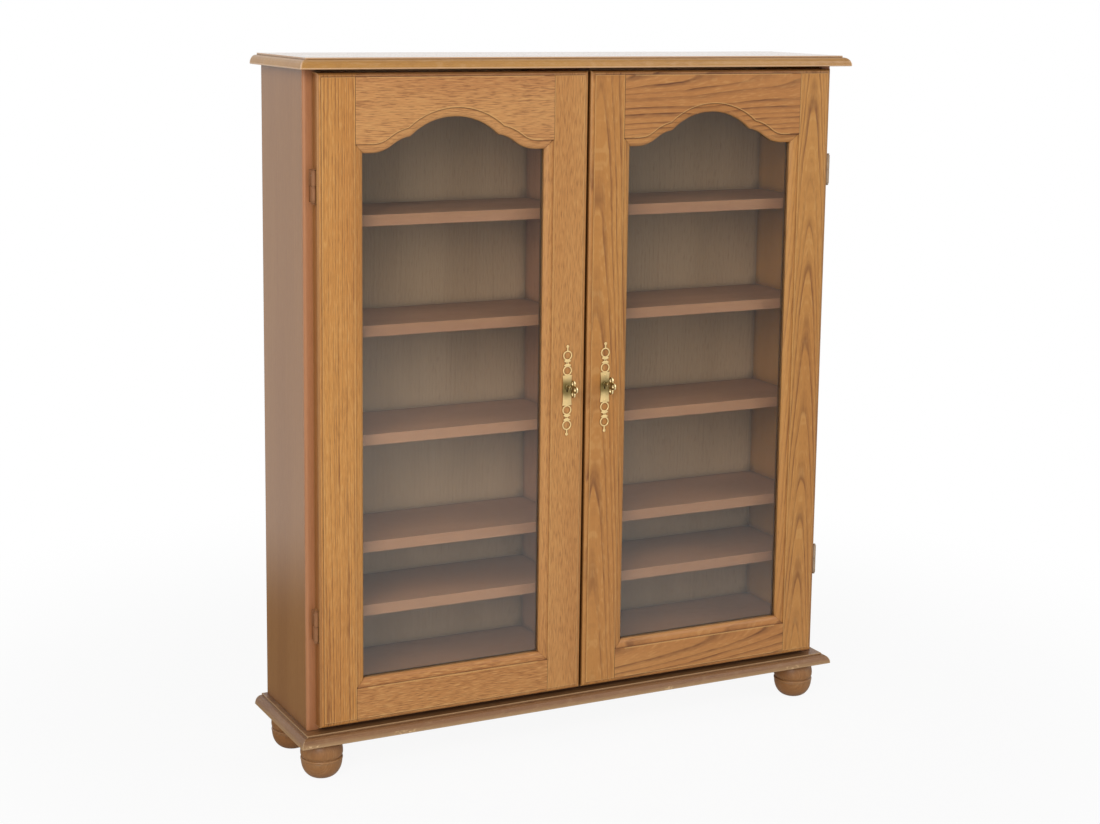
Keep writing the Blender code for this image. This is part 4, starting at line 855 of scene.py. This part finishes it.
def foot_profile():
    """The turned foot from its top down: a bulging drum, a notch, a bead, a fine line and a bowl."""
    line_high = FOOT_BOWL_HEIGHT + FOOT_LINE_HEIGHT
    bead_high = line_high + FOOT_BEAD_HEIGHT
    drum_low = bead_high + FOOT_NOTCH_HEIGHT
    line_radius = FOOT_RADIUS - FOOT_LINE_DEPTH
    notch_radius = FOOT_RADIUS - FOOT_NOTCH_DEPTH
    widest = (FOOT_DRUM_RADIUS, FOOT_DRUM_WIDEST)
    bead_widest = (FOOT_RADIUS, bead_high - FOOT_BEAD_HEIGHT / 2)
    points = [(0, FOOT_HEIGHT)]
    points += reversed(swell(widest, (FOOT_NECK_RADIUS, FOOT_HEIGHT), FOOT_STEPS["drum"]))
    points += swell(widest, (notch_radius, drum_low), FOOT_STEPS["drum_foot"])[1:]
    points += reversed(swell(bead_widest, (notch_radius, bead_high), FOOT_STEPS["bead"])[1:])
    points.append((FOOT_RADIUS, bead_high - FOOT_BEAD_HEIGHT * FOOT_BEAD_FLAT))
    points.append((FOOT_RADIUS - FOOT_LINE_DEPTH / 4, line_high))
    points.append((line_radius - FOOT_LINE_DEPTH / 2, line_high - FOOT_LINE_HEIGHT / 2))
    points += swell((line_radius, FOOT_BOWL_HEIGHT), (FOOT_BASE_RADIUS, 0), FOOT_STEPS["bowl"])
    return points + [(0, 0)]


def make_feet():
    for number, row in enumerate(("front", "back")):
        for side_name, side in SIDES.items():
            node = f"foot_{row}_{side_name}"
            place = middle(node)
            work = bmesh.new()
            add_turned(work, foot_profile(), FOOT_SEGMENTS, Matrix.Translation((place[0], place[1], 0)))
            seed = 71 + 5 * number + side
            look = wood(f"{node}_wood", FOOT_WOOD, "XYZ", place, seed, (0.05, 0.06), slope=0.1)
            add_piece(f"turned_{node}", work, "carcass", [look], [node])


def finial_profile():
    """A turned bud as (radius, distance from the knuckle's end), from its tip to its neck."""
    neck = FINIAL_LENGTH * FINIAL_NECK_SHARE
    half = (FINIAL_LENGTH - neck) / 2
    turns = [math.pi * i / FINIAL_STEPS for i in range(1, FINIAL_STEPS)]
    bud = [(FINIAL_RADIUS * math.sin(t), neck + half * (1 + math.cos(t))) for t in turns]
    return [(0, FINIAL_LENGTH)] + bud + [(FINIAL_NECK_RADIUS, neck), (FINIAL_NECK_RADIUS, 0)]


def knuckle_profile():
    """A hinge's upper knuckle from the finial's tip down, with a turned line near each end."""
    inner = HINGE_RADIUS - HINGE_GROOVE
    near, far = KNUCKLE_GAP / 2, HINGE_HALF
    points = [(radius, far + reach) for radius, reach in finial_profile()]
    points += [(inner, far), (HINGE_RADIUS, far - HINGE_GROOVE)]
    for line in (far - KNUCKLE_LINE_INSET, near + KNUCKLE_LINE_INSET):
        points += [(HINGE_RADIUS, line + HINGE_GROOVE), (inner, line), (HINGE_RADIUS, line - HINGE_GROOVE)]
    return points + [(HINGE_RADIUS, near + HINGE_GROOVE), (inner, near), (0, near)]


def side_range(side, low, high):
    return sorted((side * low, side * high))


def hinge_axis(side, height):
    return Matrix.Translation((side * HINGE_U, HINGE_Y, height))


def frame_leaf(side, height):
    """The leaf on the carcass, with its web, the lower knuckle and two screws."""
    low, high = height - HINGE_HALF, height + HINGE_HALF
    leaf_back = CARCASS_FRONT + LEAF_THICKNESS
    outer = HINGE_U + LEAF_WEB / 2
    work = bmesh.new()
    u_low, u_high = side_range(side, outer - FRAME_LEAF_WIDTH, outer)
    add_box(work, (u_low, CARCASS_FRONT, low), (u_high, leaf_back, high), LEAF_BEVEL)
    u_low, u_high = side_range(side, HINGE_U - LEAF_WEB / 2, outer)
    web_high = (u_high, leaf_back, height - KNUCKLE_GAP)
    add_box(work, (u_low, HINGE_Y, low + KNUCKLE_GAP), web_high, LEAF_BEVEL)
    lower_knuckle = [(radius, -reach) for radius, reach in knuckle_profile()]
    add_turned(work, lower_knuckle, HINGE_SEGMENTS, hinge_axis(side, height))
    screw_u = HINGE_U + (LEAF_WEB - FRAME_LEAF_WIDTH) / 2
    for share, turn in FRAME_LEAF_SCREWS:
        place = (side * screw_u, CARCASS_FRONT, height + share * HINGE_HALF)
        add_screw(work, place, (0, -1, 0), LEAF_SCREW_RADIUS, turn, 1)
    return work


def door_leaf(side, height):
    """The leaf on the door, with its web, the upper knuckle and two screws."""
    low, high = height - HINGE_HALF, height + HINGE_HALF
    leaf_front = HINGE_Y - DOOR_LEAF_LEAD
    leaf_back = leaf_front + DOOR_LEAF_WIDTH
    work = bmesh.new()
    u_low, u_high = side_range(side, DOOR_OUTER - LEAF_THICKNESS, DOOR_OUTER)
    add_box(work, (u_low, leaf_front, low), (u_high, leaf_back, high), LEAF_BEVEL)
    u_low, u_high = side_range(side, DOOR_OUTER - LEAF_THICKNESS / 2, HINGE_U)
    web_low = (u_low, HINGE_Y - LEAF_WEB / 2, height + KNUCKLE_GAP)
    web_high = (u_high, HINGE_Y + LEAF_WEB / 2, high - KNUCKLE_GAP)
    add_box(work, web_low, web_high, LEAF_BEVEL)
    add_turned(work, knuckle_profile(), HINGE_SEGMENTS, hinge_axis(side, height))
    screw_y = (HINGE_Y + HINGE_RADIUS + leaf_back) / 2
    for share, turn in DOOR_LEAF_SCREWS:
        place = (side * DOOR_OUTER, screw_y, height + share * HINGE_HALF)
        add_screw(work, place, (side, 0, 0), LEAF_SCREW_RADIUS, turn, 1)
    return work


def make_hinges(bronzes, steel):
    for side_name, side in SIDES.items():
        materials = [bronzes[side_name], steel]
        leaves = (("frame", frame_leaf, "carcass"), ("door", door_leaf, f"door_{side_name}"))
        for place_name, height in HINGE_HEIGHTS.items():
            for kind, make_leaf, body in leaves:
                node = f"hinge_{kind}_leaf_{place_name}_{side_name}"
                add_piece(f"fine_{node}", make_leaf(side, height), body, materials, [node])
            dress(f"hinge_pin_{place_name}_{side_name}", steel)


def bow_radius(turn):
    """How far the key's bow of a round core and three lobes reaches, in a direction about its middle."""
    reach = BOW_CORE_RADIUS
    for lobe_turn in BOW_LOBE_TURNS:
        ahead = BOW_LOBE_OFFSET * math.cos(turn - lobe_turn)
        aside = BOW_LOBE_OFFSET * math.sin(turn - lobe_turn)
        if ahead > 0 and abs(aside) < BOW_LOBE_RADIUS:
            reach = max(reach, ahead + math.sqrt(BOW_LOBE_RADIUS ** 2 - aside ** 2))
    return reach


def shank_profile():
    """The key's shank from its bow to its collar, as (radius, distance behind the door's face).

    The collar ends two gaps in front of the plate, which lies one gap off the door.
    """
    collar_back = -PLATE_THICKNESS - 3 * PLATE_GAP
    collar = collar_back - KEY_COLLAR_LENGTH
    collar_face = KEY_COLLAR_RADIUS - KEY_COLLAR_SOFTNESS
    bow_end = BOW_MIDDLE + BOW_CORE_RADIUS / 2
    ring = BOW_MIDDLE + BOW_CORE_RADIUS + KEY_RING_SPACE
    return [
        (0, bow_end),
        (KEY_RADIUS, bow_end),
        (KEY_RADIUS, ring - KEY_RING_FOOT),
        (KEY_RING_RADIUS, ring - KEY_RING_HALF),
        (KEY_RING_RADIUS, ring + KEY_RING_HALF),
        (KEY_RADIUS, ring + KEY_RING_FOOT),
        (KEY_RADIUS, collar),
        (collar_face, collar),
        (KEY_COLLAR_RADIUS, collar + KEY_COLLAR_SOFTNESS),
        (KEY_COLLAR_RADIUS, collar_back - KEY_COLLAR_SOFTNESS),
        (collar_face, collar_back),
        (KEY_RADIUS, collar_back),
    ]


def make_keys(brass):
    for side_name, side in SIDES.items():
        node = f"key_{side_name}"
        _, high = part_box(node)
        turns = [2 * math.pi * i / BOW_STEPS for i in range(BOW_STEPS)]
        outlines = [[(bow_radius(t) * math.cos(t), bow_radius(t) * math.sin(t)) for t in turns]]
        for lobe_turn in BOW_LOBE_TURNS:
            centre = (BOW_LOBE_OFFSET * math.cos(lobe_turn), BOW_LOBE_OFFSET * math.sin(lobe_turn))
            outlines.append(circle(BOW_HOLE_RADIUS, HOLE_STEPS, centre))
        # The bow's own X axis points to the front, its Y axis up and its thickness along the cabinet's width
        forward = Matrix(((0, 0, 1, 0), (-1, 0, 0, 0), (0, 1, 0, 0), (0, 0, 0, 1)))
        work = bmesh.new()
        place = Matrix.Translation((side * KEY_U, DOOR_FRONT + BOW_MIDDLE, KEY_Z))
        add_plate(work, outlines, BOW_THICKNESS, BOW_BEVEL, place @ forward)
        tip = high.y - DOOR_FRONT
        profile = shank_profile()
        profile += [(KEY_RADIUS, tip - KEY_TIP_BEVEL), (KEY_RADIUS - KEY_TIP_BEVEL, tip), (0, tip)]
        axis = Matrix.Translation((side * KEY_U, DOOR_FRONT, KEY_Z)) @ Matrix.Rotation(-math.pi / 2, 4, "X")
        add_turned(work, profile, KEY_SEGMENTS, axis)
        bit_low = (side * KEY_U - KEY_BIT_HALF, high.y + KEY_BIT_BEFORE_TIP[0], KEY_Z - KEY_BIT_DROP)
        bit_high = (side * KEY_U + KEY_BIT_HALF, high.y + KEY_BIT_BEFORE_TIP[1], KEY_Z)
        add_box(work, bit_low, bit_high, KEY_BIT_BEVEL)
        add_piece(f"fine_{node}", work, node, [brass], [node])


def plate_half_width(height):
    """Half the key plate's width at a height from its middle: shield, rings, links and end buds."""
    height = abs(height)
    widths = [PLATE_NECK if height < PLATE_FAR_RING else PLATE_STEM]
    if height <= PLATE_SHIELD_HALF_LENGTH:
        waist = PLATE_SHIELD_WAIST * math.sin(math.pi * height / PLATE_SHIELD_HALF_LENGTH)
        widths.append(PLATE_SHIELD_HALF_WIDTH - waist)
    for ring in (PLATE_NEAR_RING, PLATE_FAR_RING):
        if abs(height - ring) < PLATE_RING_RADIUS:
            widths.append(math.sqrt(PLATE_RING_RADIUS ** 2 - (height - ring) ** 2))
    for arm in (PLATE_LINK - PLATE_ARM_OFFSET, PLATE_LINK + PLATE_ARM_OFFSET):
        if abs(height - arm) < PLATE_ARM_HALF:
            widths.append(PLATE_ARM_REACH * math.sqrt(1 - abs(height - arm) / PLATE_ARM_HALF))
    bud = PLATE_HALF_LENGTH - PLATE_BUD_RADIUS
    if abs(height - bud) < PLATE_BUD_RADIUS:
        widths.append(math.sqrt(PLATE_BUD_RADIUS ** 2 - (height - bud) ** 2))
    return max(widths)


def make_key_plates(brass):
    count = round(2 * PLATE_HALF_LENGTH / PLATE_SAMPLE)
    heights = [PLATE_HALF_LENGTH * (2 * i / count - 1) for i in range(count + 1)]
    right = [(plate_half_width(height), height) for height in heights]
    outlines = [right + [(-width, height) for width, height in reversed(right)]]
    holes = {PLATE_NEAR_RING: PLATE_RING_HOLE, PLATE_FAR_RING: PLATE_RING_HOLE, PLATE_LINK: PLATE_LINK_HOLE}
    for height, radius in holes.items():
        for end in (-1, 1):
            outlines.append(circle(radius, HOLE_STEPS, (0, end * height)))
    keyhole = arc(KEY_RADIUS + PLATE_GAP, *KEYHOLE_TURNS, KEYHOLE_STEPS, (0, PLATE_DROP))
    slot = KEY_BIT_HALF + PLATE_GAP / 2
    slot_end = PLATE_DROP - KEYHOLE_DROP
    outlines.append(keyhole + [(-slot, slot_end), (slot, slot_end)])
    turns = [math.pi / 2 * i / PLATE_PIN_STEPS for i in range(PLATE_PIN_STEPS)]
    dome = [(PLATE_PIN_RADIUS * math.cos(t), PLATE_PIN_RISE * math.sin(t)) for t in turns]
    pin = [(0, -PLATE_PIN_SINK), (PLATE_PIN_RADIUS, -PLATE_PIN_SINK)] + dome + [(0, PLATE_PIN_RISE)]
    for side_name, side in SIDES.items():
        node = f"key_plate_{side_name}"
        place = (side * KEY_U, DOOR_FRONT - PLATE_GAP - PLATE_THICKNESS / 2, KEY_Z - PLATE_DROP)
        work = bmesh.new()
        upright = Matrix.Translation(place) @ Matrix.Rotation(math.pi / 2, 4, "X")
        add_plate(work, outlines, PLATE_THICKNESS, PLATE_BEVEL, upright)
        for end in (-1, 1):
            pin_place = (place[0], place[1] - PLATE_THICKNESS / 2, place[2] + end * PLATE_PIN_OFFSET)
            add_turned(work, pin, PLATE_PIN_SEGMENTS, facing(pin_place, (0, -1, 0)))
        add_piece(f"fine_{node}", work, f"door_{side_name}", [brass], [node])


def make_fasteners(steel):
    """Screws of the lock cases, and nails of the back panel."""
    for side_name in SIDES:
        low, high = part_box(f"lock_case_{side_name}")
        rows = (low.z + LOCK_SCREW_INSET, high.z - LOCK_SCREW_INSET)
        places = [(x, high.y, z) for x in (low.x + LOCK_SCREW_INSET, high.x - LOCK_SCREW_INSET) for z in rows]
        work = bmesh.new()
        for number, place in enumerate(places):
            turn = LOCK_SCREW_FIRST_TURN + LOCK_SCREW_TURN_STEP * number
            add_screw(work, place, (0, 1, 0), LOCK_SCREW_RADIUS, turn, 0)
        add_piece(f"lock_screws_{side_name}", work, f"door_{side_name}", [steel])
    low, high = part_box("back_panel")
    left, right = low.x + NAIL_INSET, high.x - NAIL_INSET
    bottom, top = low.z + NAIL_INSET, high.z - NAIL_INSET
    places = []
    for i in range(NAIL_SPACES + 1):
        z = bottom + (top - bottom) * i / NAIL_SPACES
        places += [(left, z), (right, z)]
    for i in range(1, NAIL_SPACES):
        x = left + (right - left) * i / NAIL_SPACES
        places += [(x, bottom), (x, top)]
    head = [(0, -NAIL_SINK), (NAIL_RADIUS, -NAIL_SINK), (NAIL_RADIUS, NAIL_RIM)]
    head += [(NAIL_CROWN_RADIUS, NAIL_CROWN), (0, NAIL_RISE)]
    work = bmesh.new()
    for x, z in places:
        add_turned(work, head, NAIL_SEGMENTS, facing((x, high.y, z), (0, 1, 0)))
    add_piece("back_nails", work, "carcass", [steel])


# Stage

def make_floor():
    paint = Paint("floor")
    paint.tree.nodes.remove(paint.shader)
    cloud = paint.noise(paint.place, FLOOR_CLOUD_SCALE, seed=1, detail=3)
    pale = (FLOOR_TONE, FLOOR_TONE, FLOOR_TONE, 1)
    deeper = (*(FLOOR_TONE * share for share in FLOOR_CLOUD), 1)
    matte = paint.fed(paint.new("BsdfDiffuse"), Color=paint.blend(cloud, pale, deeper))
    distance = paint.vector_math("LENGTH", paint.place)
    direct = paint.light_path("Is Camera Ray", "Is Transmission Ray")
    direct = paint.times(direct, paint.step(distance, *FLOOR_GLOW_REACH, *FLOOR_GLOW))
    # Rays that come straight through glass count as glossy too, but nothing has mirrored them
    reflected = paint.math("MINIMUM", paint.light_path("Glossy Depth"), 1)
    gloss = paint.times(paint.light_path("Is Glossy Ray"), reflected)
    share = paint.math("MAXIMUM", direct, gloss)
    # Painted reflection: for glossy rays the floor glows a warm shade close behind the object, and dimmer
    # towards the front right
    x, y, _ = paint.split(paint.place)
    front = paint.step(x, *GLOSS_FRONT_X, *GLOSS_FRONT)
    behind = paint.blend(paint.step(distance, *GLOSS_NEAR_REACH), GLOSS_NEAR_TONE, GLOSS_FAR_TONE)
    mirrored = paint.blend(paint.step(y, *GLOSS_FRONT_Y), front, behind)
    glow = paint.fed(paint.new("Emission"), Color=paint.blend(gloss, WHITE, mirrored))
    paint.show_both(share, matte, glow)
    work = bmesh.new()
    half = FLOOR_SIZE / 2
    work.faces.new([work.verts.new((x * half, y * half, 0)) for x, y in ((-1, -1), (1, -1), (1, 1), (-1, 1))])
    floor = link("floor", finished_mesh("floor", work, [paint.material]))


def make_world():
    """White for rays that show the background, and dimmer for those that only light the object."""
    world = bpy.data.worlds.new("studio")
    bpy.context.scene.world = world
    world.use_nodes = True
    nodes = Nodes(world.node_tree)
    seen = nodes.light_path("Is Camera Ray", "Is Glossy Ray", "Is Transmission Ray")
    strength = nodes.times_plus(seen, 1 - AMBIENT, AMBIENT)
    nodes.fed(nodes.tree.nodes["Background"], Color=WHITE, Strength=strength)


def make_lamp(name, place, watts, size):
    lamp = bpy.data.lights.new(name, "AREA")
    lamp.energy = watts
    lamp.size = size
    holder = link(name, lamp)
    holder.location = place
    holder.rotation_euler = (Vector(LAMP_TARGET) - Vector(place)).to_track_quat("-Z", "Y").to_euler()


def make_camera():
    lens = bpy.data.cameras.new("camera")
    lens.lens = CAMERA_LENS
    lens.sensor_width = CAMERA_SENSOR
    lens.shift_y = CAMERA_SHIFT
    camera = link("camera", lens)
    turn = Matrix.Rotation(math.radians(CAMERA_YAW), 4, "Z")
    tilt = Matrix.Rotation(math.radians(90 - CAMERA_PITCH), 4, "X")
    roll = Matrix.Rotation(math.radians(CAMERA_ROLL), 4, "Z")
    camera.matrix_world = Matrix.Translation(CAMERA_PLACE) @ turn @ tilt @ roll
    bpy.context.scene.camera = camera


make_camera()
make_world()
make_floor()
make_lamp("key_lamp", **KEY_LAMP)
make_lamp("fill_lamp", **FILL_LAMP)
bpy.context.scene.view_settings.view_transform = "Standard"

dress_carcass()
dress_doors()
# The plate's brass has a band of painted dark reflection across its shield
brass_marks = dict(rough=0.24, patina=0.15, reach=0.8 * MM, metallic=0.6, dark_reflection=BRASS_DARK_REFLECTION)
# The key's brass has painted shade and dark reflection on its flats and rear
key_marks = dict(rough=0.2, patina=0.1, reach=1.5 * MM, key_shade=0.8)
# Hinge bronze in two copies: painted shade for the left hinges, painted light for the right
shaded_bronze_marks = dict(rough=0.45, reach=1.5 * MM, metallic=0.1)
lit_bronze_marks = dict(rough=0.4, reach=1.5 * MM, metallic=0.3)
brass_paint = metal("brass", tone(255, 222, 156), tone(122, 104, 54), **brass_marks)
key_paint = metal("key_brass", tone(255, 232, 176), tone(104, 88, 44), **key_marks)
# Lit and shaded copies of one bronze: painted shade on the left hinges, painted light on the right
bronze_paints = {
    "left": metal("bronze_painted_shade", tone(150, 100, 60), tone(118, 76, 42), **shaded_bronze_marks),
    "right": metal("bronze_painted_light", tone(176, 152, 126), tone(126, 104, 80), **lit_bronze_marks),
}
steel_paint = metal("screw_steel", tone(196, 186, 160), tone(116, 104, 84), rough=0.3)
make_feet()
make_hinges(bronze_paints, steel_paint)
make_keys(key_paint)
make_key_plates(brass_paint)
make_fasteners(steel_paint)
